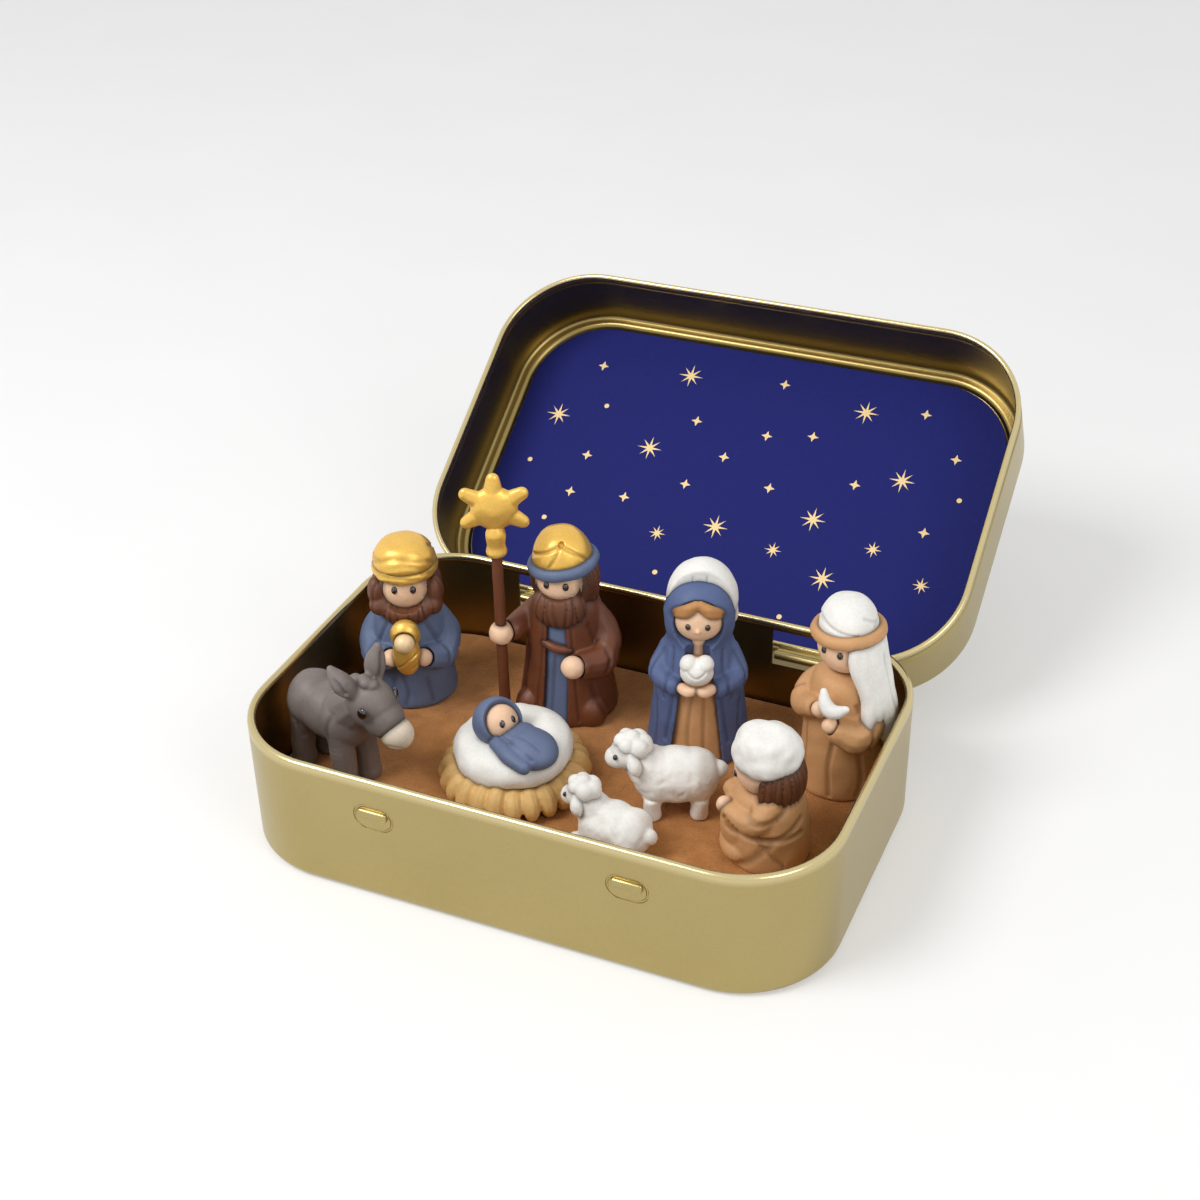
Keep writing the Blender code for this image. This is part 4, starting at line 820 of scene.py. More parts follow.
# %% Creases and kneading
class Skin:
    """A clay mesh in millimetres that is being drawn on."""

    def __init__(self, mesh):
        self.mesh = mesh
        self.at = read(mesh.vertices, "co", 3)
        # Painted shade per point, put into the grooves of deep strokes.
        self.painted_shade = np.zeros(len(self.at))

    def settle(self):
        self.mesh.vertices.foreach_set("co", self.at.ravel())
        self.mesh.update()
        return read(self.mesh.vertex_normals, "vector", 3)

    def stroke(self, near, width, depth, facing, normals):
        touch = np.clip(1 - (near / width) ** 2, 0, 1) ** 2 * facing
        self.at -= normals * (touch * depth)[:, None]
        # A deep stroke also paints shade into its groove.
        if depth > 0.1:
            self.painted_shade = np.maximum(self.painted_shade, 0.45 * touch ** 2)

    def crease(self, *path, width=0.5, depth=0.22, about=(0, 0)):
        """A stroke along (turn, height) places about an upright axis; turn 0 is the front, 90 the +X side."""
        normals = self.settle()
        away = self.at[:, :2] - np.array(about)
        reach = np.hypot(away[:, 0], away[:, 1]) + 1e-6
        turn = np.degrees(np.arctan2(away[:, 0], -away[:, 1]))
        facing = np.clip((normals[:, :2] * away).sum(1) / reach * 3, 0, 1)
        near = np.full(len(self.at), 1e9)
        curve = smooth_path(path, 6) if len(path) > 2 else np.array(path, float)
        spots = []
        for angle, height in curve:
            side = (angle - turn + 180) % 360 - 180
            spots.append(np.stack([np.radians(side) * reach, height - self.at[:, 2]], 1))
        for a, b in zip(spots, spots[1:]):
            run = b - a
            share = np.clip(-(a * run).sum(1) / ((run ** 2).sum(1) + 1e-9), 0, 1)
            near = np.minimum(near, np.linalg.norm(a + run * share[:, None], axis=1))
        self.stroke(near, width, depth, facing, normals)
        return self

    def line(self, *path, width=0.5, depth=0.22):
        """A stroke along x, y, z points close to the skin."""
        normals = self.settle()
        curve = smooth_path(path, 6)
        near = np.full(len(self.at), 1e9)
        for a, b in zip(curve, curve[1:]):
            run = b - a
            share = np.clip(((self.at - a) @ run) / (run @ run + 1e-9), 0, 1)
            near = np.minimum(near, np.linalg.norm(self.at - a - share[:, None] * run, axis=1))
        self.stroke(near, width, depth, 1.0, normals)
        return self

    def strands(self, start, end, gap, top, bottom, about=(0, 0), sway=4.0, depth=0.16, width=0.34):
        """Upright hair strokes side by side from one turn to another."""
        for i, turn in enumerate(np.arange(start, end, gap)):
            lean = sway * math.sin(1.7 * i)
            self.crease((turn, top), (turn + lean, (top + bottom) / 2), (turn - lean / 2, bottom),
                        width=width, depth=depth, about=about)
        return self

    def knead(self, amount=0.07, size=2.6):
        normals = self.settle()
        swell = np.array([noise.noise(Vector(p) / size) for p in self.at])
        self.at += normals * (swell * amount)[:, None]
        return self


def bare_ball(centre, radius):
    """A ball of clay with nothing drawn on it."""
    return Skin(Lump().ball(centre, radius).plain())


def mitten(centre, radius):
    """A small hand: a ball pinched a little out of round."""
    return bare_ball(centre, radius).knead(0.06, 1.2)


# %% [markdown]
# Each figure has a frame of its own: millimetres from its foot on the suede, facing -Y, so that left and
# right and front and back mean the same for all of them. When every piece of a figure is in place, the
# painted shade in its seams is found from how near each point lies to the figure's other pieces.

# %% Figures
SEAT = 6.3
# How far from another piece the painted seam shade reaches, in millimetres.
SHADE_REACH = 0.65
UNDER = -0.27
DEEP = -8
SIDES = ((-1, "right"), (1, "left"))


def below(reach):
    """A block under a figure, which cuts its foot flat."""
    return Lump().block((-reach, -reach, DEEP), (reach, reach, UNDER))


class Figure:
    """One loose figure: its frame, and its pieces as they are made."""

    def __init__(self, body, x, y, heading):
        self.body = body
        self.frame = (Matrix.Scale(MM, 4) @ Matrix.Translation((x, y, SEAT))
                      @ Matrix.Rotation(math.radians(heading), 4, "Z"))
        self.pieces = []

    def middle(self, node):
        low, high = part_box(node)
        return self.frame.inverted() @ ((low + high) / 2)

    def add(self, node, skin, finish, suffix="clay"):
        """A worked skin, or a plain mesh, in the place of a CAD node."""
        if not isinstance(skin, Skin):
            skin = Skin(skin)
        skin.settle()
        skin.mesh.transform(self.frame)
        piece = show(f"{node}_{suffix}", skin.mesh, finish, self.body, node)
        self.pieces.append((piece, skin))
        return piece

    def eyes(self, node, centre, radius, turn, height, size, thin=0.35):
        """Two varnished dots on a round head, either side of its front."""
        dots = Lump()
        for side in (-1, 1):
            around = math.radians(side * turn)
            flat = math.sqrt(max(radius ** 2 - height ** 2, 0.01))
            spot = Vector((flat * math.sin(around), -flat * math.cos(around), height))
            facing = spot.normalized().to_track_quat("-Y", "Z").to_matrix().to_4x4()
            place = Matrix.Translation(Vector(centre) + spot) @ facing
            bmesh.ops.create_uvsphere(dots.shape, u_segments=20, v_segments=12, radius=1,
                                      matrix=place @ Matrix.Diagonal((size[0], thin, size[1], 1)))
        return self.add(node, dots.plain(), EYE, "eyes")

    def shade_seams(self):
        """Painted shade where a piece comes near another, and in its drawn lines."""
        meshes = [piece.data for piece, skin in self.pieces]
        trees = [BVHTree.FromPolygons([v.co for v in m.vertices], [p.vertices for p in m.polygons])
                 for m in meshes]
        spans = [read(m.vertices, "co", 3) for m in meshes]
        for own, (piece, skin) in enumerate(self.pieces):
            gap = np.full(len(spans[own]), SHADE_REACH)
            for other, tree in enumerate(trees):
                if other == own or self.pieces[other][0].name.endswith("_eyes"):
                    continue
                low = spans[other].min(0) - SHADE_REACH * MM
                high = spans[other].max(0) + SHADE_REACH * MM
                close = np.where(((spans[own] > low) & (spans[own] < high)).all(1))[0]
                for i in close:
                    hit = tree.find_nearest(Vector(spans[own][i]), SHADE_REACH * MM)
                    if hit[3] is not None:
                        gap[i] = min(gap[i], hit[3] / MM)
            # Shade is painted darker the nearer another piece lies, and in deep strokes.
            seam_shade = np.maximum((1 - gap / SHADE_REACH) ** 1.5, skin.painted_shade)
            piece.data.attributes.new("seam_shade", "FLOAT", "POINT").data.foreach_set("value", seam_shade)
        print(self.body, "pieces:", len(self.pieces), "points:", sum(len(s) for s in spans))


# %% [markdown]
# ## The gift bearer
# A bell of blue clay with two wide sleeves that meet in front, holding a gold bundle. Hair and beard are
# one brown ring drawn with strands, and the turban is a thick gold brim with a folded crown.

# %% Gift bearer
gift = Figure("gift_bearer", -36.54, 12.46, 24)
head = gift.middle("gift_bearer_head")
HEAD = 4.7
BRIM = head.z + 0.66 * HEAD
hands = {side: gift.middle(f"gift_bearer_{name}_hand") for side, name in SIDES}
robe = Lump().turned([(2.4, 17.6), (5.0, 16.2), (6.2, 13.0), (6.6, 8.6), (6.9, 3.4), (7.15, 0.6),
                      (6.9, UNDER)])
cuffs = Lump()
for side in (-1, 1):
    robe.roll((side * 3.7, 0.4, 15.2, 1.8), (side * 6.0, -0.7, 11.2, 2.35), (side * 5.5, -4.2, 9.2, 2.4),
              (side * 3.4, -6.6, 10.1, 2.15))
    cuffs.ball(hands[side], 1.75)
robe = Skin(robe.fired([cuffs]))
for side in (-1, 1):
    robe.crease((side * 36, 15.6), (side * 44, 13.0), (side * 50, 11.0), (side * 46, 8.6), width=0.7,
                depth=0.35)
    robe.crease((side * 66, 9.4), (side * 74, 8.0), (side * 62, 6.6), width=0.6, depth=0.25)
    robe.crease((side * 100, 10.6), (side * 84, 8.0), width=0.6, depth=0.25)
    robe.crease((side * 24, 5.4), (side * 30, 1.0), width=0.9, depth=0.14)
robe.crease((-10, 6.0), (-4, 3.0), (-8, 0.8), width=0.8, depth=0.14).knead(0.12)
gift.add("gift_bearer_robe", robe, BLUE)
gift.add("gift_bearer_head", bare_ball(head, HEAD), SKIN)
gift.eyes("gift_bearer_head", head, HEAD, 19, 0.9, (0.52, 0.66))
face = Lump().ball(head + Vector((0, -5.0, 0.2)), (4.25, 3.3, 3.2))
over = Lump().block((-9, -9, BRIM - 0.2), (9, 9, BRIM + 8))
beard = Lump().ball(head + Vector((0, 0.75, -0.7)), (5.7, 5.3, 5.4))
beard.ball(head + Vector((0, -3.2, -3.7)), (4.1, 2.6, 2.5))
for side in (-1, 1):
    beard.ball(head + Vector((side * 4.7, -1.9, -0.6)), (1.5, 1.9, 2.6))
    beard.ball(head + Vector((side * 4.3, -2.6, -2.9)), (1.7, 1.9, 1.8))
beard = Skin(beard.fired([face, over]))
beard.strands(-176, 176, 12, head.z + 3.0, head.z - 7.0, (0, head.y + 1.5)).knead(0.08)
gift.add("gift_bearer_beard", beard, HAIR)
brim = Skin(Lump().ring((0, head.y, BRIM), 4.15, 1.35, 1.2).fired())
brim.crease((-70, BRIM - 0.8), (-20, BRIM + 0.5), (30, BRIM - 0.2), width=0.5, depth=0.09, about=(0, head.y))
brim.crease((40, BRIM + 0.7), (75, BRIM - 0.8), width=0.5, depth=0.09, about=(0, head.y)).knead(0.1)
gift.add("gift_bearer_turban_brim", brim, GOLD)
crown = Lump().turned([(1.4, 4.95), (3.3, 4.4), (4.75, 2.8), (5.15, 1.3), (4.7, 0.1)], (0, head.y, BRIM))
crown = Skin(crown.fired())
crown.crease((-80, BRIM + 1.4), (-30, BRIM + 3.2), (20, BRIM + 3.4), (70, BRIM + 1.6), width=0.7, depth=0.12,
             about=(0, head.y))
crown.crease((-40, BRIM + 1.4), (5, BRIM + 2.4), (45, BRIM + 1.3), width=0.6, depth=0.08, about=(0, head.y))
crown.crease((90, BRIM + 3.6), (130, BRIM + 1.4), width=0.5, depth=0.2, about=(0, head.y)).knead(0.12)
gift.add("gift_bearer_turban_crown", crown, GOLD)
for side, name in SIDES:
    gift.add(f"gift_bearer_{name}_hand", mitten(hands[side], 1.45), SKIN)
wrap_at = gift.middle("gift_wrap")
ball_at = gift.middle("gift_ball")
wrap = Lump().ball(wrap_at + Vector((0, 0, -1.2)), (2.3, 1.8, 4.0))
wrap.ball(wrap_at + Vector((0, 0.1, 2.5)), (2.45, 2.0, 2.7))
wrap = Skin(wrap.fired([Lump().ball(ball_at + Vector((0, -0.7, 0.1)), 2.05)], fine=0.16))
wrap.line((1.8, -9.6, 12.6), (0.2, -10.5, 11.5), (-1.7, -9.6, 9.8), width=0.35, depth=0.25)
wrap.line((1.7, -9.4, 10.6), (0.3, -10.4, 9.2), (-1.0, -9.6, 8.2), width=0.35, depth=0.2)
gift.add("gift_wrap", wrap.knead(0.06, 1.5), GOLD)
gift.add("gift_ball", bare_ball(ball_at + Vector((0, -0.1, 0)), 1.65), PALE_GOLD)
gift.shade_seams()

# %% [markdown]
# ## The star bearer
# A brown coat hangs open over a blue tunic. One fist holds a straight staff with a puffed six-point star on
# top, the other rests in front. The cap is a gold dome in a blue band that sits a little askew.

# %% Star bearer: coat, tunic and belt
bearer = Figure("star_bearer", -10.83, 18.42, 9)
head = bearer.middle("star_bearer_head")
HEAD = 4.9
BAND = head.z + 0.55 * HEAD
staff = bearer.middle("star_staff")
fist = bearer.middle("star_bearer_staff_hand")
free = bearer.middle("star_bearer_free_hand")
COAT = [(3.0, 21.7), (5.1, 20.2), (6.15, 16.8), (6.7, 10.7), (7.6, 4.3), (8.2, 0.7), (8.0, UNDER)]
coat = Lump().turned(COAT)
coat.roll((3.8, 0.6, 18.8, 1.9), (6.8, -0.4, 14.5, 2.35), (7.0, -4.0, 11.7, 2.5), (4.6, -7.0, 12.0, 2.3))
coat.roll((-3.7, 0.5, 18.8, 1.9), (-6.4, -1.7, 16.2, 2.15), (staff.x + 1.5, staff.y + 1.7, 15.8, 2.0))
coat.ball((-5.0, -4.9, 1.6), (2.6, 2.7, 3.2)).ball((5.2, -4.6, 1.4), (2.5, 2.6, 3.0))
opening = Lump().wedge(-12, -3.4, (-1.5, 1.5, 20.5), (-2.4, 2.0, -1))
under = below(14)
fists = Lump().ball(free, 2.15).ball(fist, 2.15)
coat = Skin(coat.fired([opening, under, fists]))
for side in (-1, 1):
    coat.crease((side * 22, 19.4), (side * 25, 12.0), (side * 27, 1.0), width=0.45, depth=0.2)
coat.crease((52, 17.6), (60, 14.0), (52, 10.4), width=0.7, depth=0.3)
coat.crease((78, 12.6), (86, 10.4), (70, 8.8), width=0.6, depth=0.26)
coat.crease((110, 13.0), (92, 9.6), width=0.6, depth=0.22)
coat.crease((-50, 12.6), (-54, 7.0), (-46, 2.0), width=0.8, depth=0.2)
coat.crease((48, 6.8), (56, 1.2), width=0.9, depth=0.2).knead(0.12)
bearer.add("star_bearer_coat", coat, BROWN)
tunic = Lump().turned([(max(r - 0.75, 0.5), z) for r, z in COAT])
tunic = Skin(tunic.fired(within=Lump().wedge(-12, -2.2, (-2.0, 2.0, 20.5), (-2.9, 2.5, UNDER + 0.05)),
                         relax=3))
bearer.add("star_bearer_tunic", tunic.crease((-4, 12), (-8, 1), width=0.7, depth=0.16).knead(0.08), BLUE)
belt = Skin(Lump().roll((-2.0, -5.6, 14.6, 0.75), (0, -6.1, 14.1, 0.85), (2.0, -5.6, 13.7, 0.75)).fired())
bearer.add("star_bearer_belt", belt.knead(0.06), BROWN)

# %% Star bearer: head, cap and star
bearer.add("star_bearer_head", bare_ball(head, HEAD), SKIN)
bearer.eyes("star_bearer_head", head, HEAD, 19, 0.7, (0.52, 0.66))
face = Lump().ball(head + Vector((0, -5.0, 0.7)), (4.0, 3.2, 2.5))
over = Lump().block((-9, -9, BAND + 0.2), (9, 9, BAND + 9))
beard = Lump().ball(head + Vector((0, 0.7, -0.5)), (5.75, 5.3, 5.6))
beard.ball(head + Vector((0, -3.3, -4.0)), (4.5, 3.0, 3.7))
beard.ball(head + Vector((0, 1.4, -3.2)), (5.4, 4.4, 4.0))
beard = Skin(beard.fired([face, over]))
beard.strands(-178, 178, 10, head.z + 3.0, head.z - 8.0, (0, head.y + 1.2), 5.0, 0.2).knead(0.08)
bearer.add("star_bearer_beard", beard, HAIR)
LEAN_CAP = (0, -8, 0)
band = Skin(Lump().ring((0, head.y, BAND), 4.75, 1.1, 1.15, LEAN_CAP).fired())
bearer.add("star_bearer_cap_band", band.knead(0.12), BLUE)
dome = Lump().turned([(1.0, 5.9), (2.9, 5.1), (4.3, 3.1), (4.85, 1.0), (4.7, -0.4)], (0, head.y, BAND),
                     LEAN_CAP)
dome = Skin(dome.fired())
axis = (0, head.y)
dome.crease((-75, BAND + 1.6), (-25, BAND + 3.4), (15, BAND + 4.9), width=0.5, depth=0.28, about=axis)
dome.crease((70, BAND + 1.8), (40, BAND + 3.6), (10, BAND + 4.7), width=0.5, depth=0.28, about=axis)
dome.crease((-12, BAND + 1.2), (0, BAND + 3.0), (10, BAND + 4.7), width=0.45, depth=0.22,
            about=axis).knead(0.12)
bearer.add("star_bearer_cap_crown", dome, GOLD)
bearer.add("star_bearer_staff_hand", Skin(Lump().ball(fist, 2.0).fired()).knead(0.1, 1.5), SKIN)
bearer.add("star_bearer_free_hand", Skin(Lump().ball(free, (1.95, 1.75, 1.95)).fired()).knead(0.1, 1.5), SKIN)
STAFF_TOP = 32.4
stick = Lump().turned([(0.85, STAFF_TOP), (0.92, 20.0), (0.9, 10.0), (0.95, 0.3), (0.85, UNDER)],
                      (staff.x, staff.y, 0), steps=24)
bearer.add("star_staff", Skin(stick.fired(fine=0.16)).knead(0.04, 1.8), BROWN)
STAR_HUB = 39.1
STAR_REACH = 5.0
STAR_TURN = 15
top = Lump().ball((0, 0, 0), (3.7, 1.75, 3.7))
for point in range(6):
    around = math.radians(60 * point)
    aim = Vector((math.sin(around), 0, math.cos(around)))
    for share in np.linspace(0.15, 1.0, 12):
        radius = 2.05 - 0.95 * share
        top.ball(aim * STAR_REACH * share, (radius, radius * 0.7, radius), segments=16)
top.turned([(1.2, -3.4), (1.6, -4.6), (1.45, -6.6), (1.7, -7.9), (1.3, -8.5)], steps=32)
top = Skin(top.fired(fine=0.17, relax=4))
turn_star = Matrix.Rotation(math.radians(STAR_TURN), 4, "Z")
place_star = Matrix.Translation((staff.x, staff.y, STAR_HUB)) @ turn_star
top.knead(0.05, 1.6).settle()
top.mesh.transform(place_star)
top.at = read(top.mesh.vertices, "co", 3)
bearer.add("star_top", top, GOLD)
bearer.shade_seams()

# %% [markdown]
# ## The mother
# One blue mantle falls from a thick hood to the floor, open down the front over a tan dress. A white veil
# shows behind the hood. The mittens hold a small white bundle.

# %% Mother
mother = Figure("mother", 12.94, 16.49, 18)
head = mother.middle("mother_head")
HEAD = 4.2
MANTLE = [(0.6, 30.4), (2.8, 29.7), (4.6, 27.9), (5.5, 25.2), (5.5, 22.5), (5.15, 20.3), (5.7, 18.4),
          (6.6, 15.8), (7.1, 10.5), (7.8, 4.0), (8.2, 0.7), (8.0, UNDER)]
mantle = Lump().turned(MANTLE)
for side in (-1, 1):
    mantle.roll((side * 4.6, -0.4, 18.0, 1.7), (side * 5.9, -3.0, 14.9, 2.0), (side * 3.6, -6.1, 14.4, 1.75))
opening = Lump().ball(head + Vector((0, -4.3, -0.2)), (4.25, 4.6, 4.6))
apron = Lump().wedge(-12, -3.6, (-1.8, 1.8, 20.6), (-4.4, 4.4, -1))
mantle = Skin(mantle.fired([opening, apron]))
for side in (-1, 1):
    mantle.crease((side * 48, 19.6), (side * 40, 17.0), (side * 34, 12.0), (side * 40, 4.0), width=0.7,
                  depth=0.24)
    mantle.crease((side * 70, 18.4), (side * 58, 14.0), (side * 50, 11.0), width=0.6, depth=0.24)
    mantle.crease((side * 76, 11.6), (side * 60, 7.0), (side * 56, 1.0), width=0.8, depth=0.2)
    mantle.crease((side * 120, 17.0), (side * 112, 2.0), width=1.0, depth=0.2)
mantle.crease((62, 13.0), (78, 11.6), (96, 12.4), width=0.5, depth=0.22).knead(0.12)
mother.add("mother_mantle", mantle, MANTLE_BLUE)
dress = Lump().turned([(max(r - 0.85, 0.3), z) for r, z in MANTLE])
dress = Skin(dress.fired(within=Lump().wedge(-12, -2.4, (-2.3, 2.3, 18.7), (-4.9, 4.9, UNDER + 0.05)),
                         relax=3))
dress.crease((-8, 12.4), (-12, 6.0), (-9, 0.6), width=0.7, depth=0.18)
dress.crease((10, 12.4), (9, 0.6), width=0.7, depth=0.15)
mother.add("mother_dress", dress.knead(0.08), TAN)
skull = Lump().ball(head, (HEAD, HEAD, HEAD * 0.98)).roll((0, -2.6, 18.6, 1.3), (0, -2.6, 21.4, 1.2))
skull.ball(head + Vector((0, -HEAD, -0.5)), (0.42, 0.4, 0.46))
mother.add("mother_head", Skin(skull.fired(fine=0.16)), SKIN)
mother.eyes("mother_head", head, HEAD, 21, 0.1, (0.46, 0.55))
hair = Lump()
for side in (-1, 1):
    for strand in range(2):
        drop = 0.6 * strand
        hair.roll((side * 0.35, head.y - 3.15 + 0.1 * strand, head.z + 3.6 - drop * 0.35, 0.75),
                  (side * (1.7 + 0.2 * strand), head.y - 3.3, head.z + 2.9 - drop, 0.85),
                  (side * 3.3, head.y - 2.1, head.z + 1.9 - drop, 0.6),
                  (side * 4.0, head.y - 1.0, head.z + 0.9, 0.4))
mother.add("mother_hair", Skin(hair.fired(fine=0.16, relax=3)).knead(0.06, 1.5), LIGHT_HAIR)
veil = Lump().ball((0.3, 1.4, 26.2), (5.6, 5.7, 6.4))
veil.roll((4.0, 1.8, 25.0, 1.9), (4.5, 2.4, 22.6, 1.5), (4.4, 2.8, 21.0, 1.0))
veil.roll((-3.6, 2.4, 25.0, 1.9), (-4.0, 3.2, 22.6, 1.5), (-3.9, 3.4, 21.0, 1.0))
veil = Skin(veil.fired([Lump().block((-12, -12, 10), (12, -0.7, 40))]))
veil.crease((150, 31.0), (138, 26.0), (145, 21.5), width=0.8, depth=0.25, about=(0, 1.1))
veil.crease((-150, 31.0), (-138, 26.0), (-145, 21.5), width=0.8, depth=0.25, about=(0, 1.1)).knead(0.12)
mother.add("mother_veil", veil, WHITE)
bundle_at = mother.middle("mother_bundle")
bundle = Lump().ball(bundle_at + Vector((0, -0.1, -0.3)), (2.6, 2.1, 2.3))
for side in (-1, 1):
    bundle.ball(bundle_at + Vector((side * 1.25, -0.1, 1.15)), (1.4, 1.6, 1.4))
bundle = Skin(bundle.fired(fine=0.16, relax=3))
bundle.line(bundle_at + Vector((-1.6, -1.8, 0.7)), bundle_at + Vector((0, -2.3, -0.3)),
            bundle_at + Vector((1.6, -1.8, 0.7)), width=0.35, depth=0.22)
mother.add("mother_bundle", bundle.knead(0.05, 1.2), WHITE)
for side, name in SIDES:
    mitt = Lump().roll((side * 0.35, -8.5, 15.2, 0.6), (side * 1.3, -8.3, 14.9, 0.95),
                       (side * 2.3, -7.3, 14.8, 0.9))
    mother.add(f"mother_{name}_hand", Skin(mitt.fired(fine=0.16)), SKIN)
mother.shade_seams()

# %% [markdown]
# ## The manger
# Thick rolls of straw clay are laid side by side round a nest, each scored lengthwise. A white cushion sits
# in it with the baby, hooded and wrapped in blue.

# %% Manger
manger = Figure("manger", -9.76, -4.36, 24)
STRAWS = 24
STRAW_SEED = 7
nest = Lump().turned([(8.2, 3.7), (8.9, 3.0), (9.2, 1.6), (9.0, UNDER)])
uneven = random.Random(STRAW_SEED)
for i in range(STRAWS):
    turn = 2 * math.pi * i / STRAWS
    out = Vector((math.sin(turn), -math.cos(turn), 0))
    swell = 1.32 + uneven.uniform(-0.12, 0.16)
    tall = 4.3 + uneven.uniform(-0.3, 0.4)
    stops = ((7.9, tall, 0.95), (9.8, tall - 0.6, swell), (10.8, 2.1, swell), (10.6, 0.95, 1.1))
    nest.roll(*[(out.x * r, out.y * r, z, thick_r) for r, z, thick_r in stops], steps=6)
nest = Skin(nest.fired([below(16)], fine=0.22, relax=2))
for i in range(STRAWS):
    for shift in (-2.2, 2.6):
        turn = 360 * i / STRAWS + shift
        turn = (turn + 180) % 360 - 180
        nest.crease((turn, 4.9), (turn, 1.2), width=0.3, depth=0.09)
manger.add("manger_nest", nest.knead(0.08), STRAW)
cushion = Lump().turned([(3.0, 9.7), (6.4, 9.5), (8.4, 8.6), (9.4, 7.0), (9.3, 5.4), (8.5, 4.4), (7.2, 3.9)])
cushion = Skin(cushion.fired(fine=0.25)).knead(0.7, 5.5).knead(0.15, 2.0)
manger.add("manger_mattress", cushion, WHITE)
cap_at = manger.middle("baby_head")
HEAD = 2.9
LOOK = Vector((0.5, -0.66, 0.62)).normalized()
manger.add("baby_head", bare_ball(cap_at, HEAD), SKIN)
hood = Lump().ball(cap_at + Vector((-0.35, 0.3, -0.1)), 3.9)
hood = Skin(hood.fired([Lump().ball(cap_at + LOOK * 4.5, 4.55)], fine=0.18))
manger.add("baby_hood", hood.knead(0.08), BLUE)
wrap = Lump().ball((3.0, -5.0, 9.7), (4.4, 3.9, 2.5), (0, 7, -48))
wrap.ball((0.9, -2.9, 10.2), (2.6, 3.3, 2.0), (0, 7, -48))
wrap.roll((-2.5, -4.0, 10.2, 1.2), (-0.4, -7.2, 9.9, 1.35), (1.9, -9.5, 9.4, 1.1))
wrap = Skin(wrap.fired(fine=0.18))
wrap.line((-0.6, -3.8, 12.2), (2.6, -6.4, 12.1), (4.6, -8.2, 11.2), width=0.5, depth=0.12)
wrap.line((-1.4, -4.3, 11.2), (0.8, -6.6, 11.2), (3.1, -9.0, 10.4), width=0.5, depth=0.18)
manger.add("baby_swaddle", wrap.knead(0.08), BLUE)
baby_eyes = Lump()
across = LOOK.cross(Vector((0, 0, 1))).normalized()
for side in (-1, 1):
    gaze = (LOOK + across * 0.36 * side - Vector((0, 0, 0.1))).normalized()
    place = Matrix.Translation(cap_at + gaze * HEAD) @ gaze.to_track_quat("-Y", "Z").to_matrix().to_4x4()
    bmesh.ops.create_uvsphere(baby_eyes.shape, u_segments=20, v_segments=12, radius=1,
                              matrix=place @ Matrix.Diagonal((0.42, 0.2, 0.62, 1)))
manger.add("baby_head", baby_eyes.plain(), EYE, "eyes")
manger.shade_seams()

# %% [markdown]
# ## The donkey
# A grey loaf on four thick legs with a big drooping head. The muzzle is cream, one ear stands up and the
# other leans out, and a roll of clay makes the mane.

# %% Donkey
donkey = Figure("donkey", -37.52, -12.13, 70)
skull_at = Vector((0.85, -9.18, 16.56))
nose_at = donkey.middle("donkey_muzzle")
body = Lump().ball((0, 3.6, 11.5), (4.55, 4.6, 4.95)).ball((0, 0, 11.2), (4.4, 6.4, 4.7))
body.ball((0, -3.9, 11.6), (4.4, 4.1, 5.1))
for x in (-2.35, 2.35):
    for y in (-5.08, 5.08):
        body.roll((x * 0.9, y * 0.86, 10.5, 2.2), (x, y, 5.0, 1.95), (x, y, 1.7, 1.95), steps=7)
        body.turned([(1.6, 2.2), (1.95, 1.4), (2.0, 0.3), (1.85, UNDER)], (x, y, 0), steps=32)
body.roll((0, -4.4, 13.2, 3.9), (0.3, -6.6, 15.4, 3.5), (0.7, -8.4, 16.9, 3.3))
body.ball(skull_at, (3.6, 4.6, 3.9), (32, 0, 10))
body.ball(skull_at + Vector((0.4, -2.3, -1.9)), (3.2, 3.5, 3.1), (38, 0, 10))
EAR_UP = Vector((2.5, -8.4, 19.6))
body.roll((*EAR_UP, 1.2), (*(EAR_UP + Vector((0.7, 0.2, 2.6))), 1.7),
          (*(EAR_UP + Vector((1.3, -0.1, 5.6))), 0.6))
EAR_OUT = Vector((-1.9, -8.3, 19.4))
body.roll((*EAR_OUT, 1.1), (*(EAR_OUT + Vector((-1.0, 0.9, 1.9))), 1.75),
          (*(EAR_OUT + Vector((-1.7, 2.2, 4.2))), 0.6))
body.roll((-0.4, -3.6, 17.0, 0.9), (-0.3, -5.3, 18.6, 1.15), (0.2, -7.0, 20.1, 1.1))
for x, y, z in ((0.5, -8.6, 20.7), (0.7, -10.2, 20.4), (0.0, -9.6, 20.9)):
    body.ball((x, y, z), (1.1, 1.0, 0.9))
body = Skin(body.fired(fine=0.22))
body.line(EAR_UP + Vector((0.0, -1.4, 1.0)), EAR_UP + Vector((0.6, -1.3, 2.8)),
          EAR_UP + Vector((1.2, -0.8, 4.6)), width=0.6, depth=0.5)
body.line(EAR_OUT + Vector((-1.6, -0.6, 0.8)), EAR_OUT + Vector((-2.3, -0.3, 2.2)),
          EAR_OUT + Vector((-2.8, 0.7, 3.6)), width=0.6, depth=0.5)
body.line((-1.2, -6.4, 18.9), (-1.5, -5.0, 17.7), (-1.4, -3.4, 16.6), width=0.5, depth=0.25)
body.line((-3.9, -5.2, 14.6), (-4.3, -4.2, 11.5), (-3.8, -4.0, 8.0), width=0.8, depth=0.25)
body.line((-4.2, 4.0, 9.8), (-3.9, 3.2, 7.4), (-3.4, 3.0, 6.2), width=0.8, depth=0.3)
donkey.add("donkey_body", body.knead(0.14), GREY)
muzzle = Lump().ball(nose_at + Vector((-0.1, 0.3, 0)), (2.6, 2.8, 2.4), (30, 0, 10))
muzzle = Skin(muzzle.fired(fine=0.18))
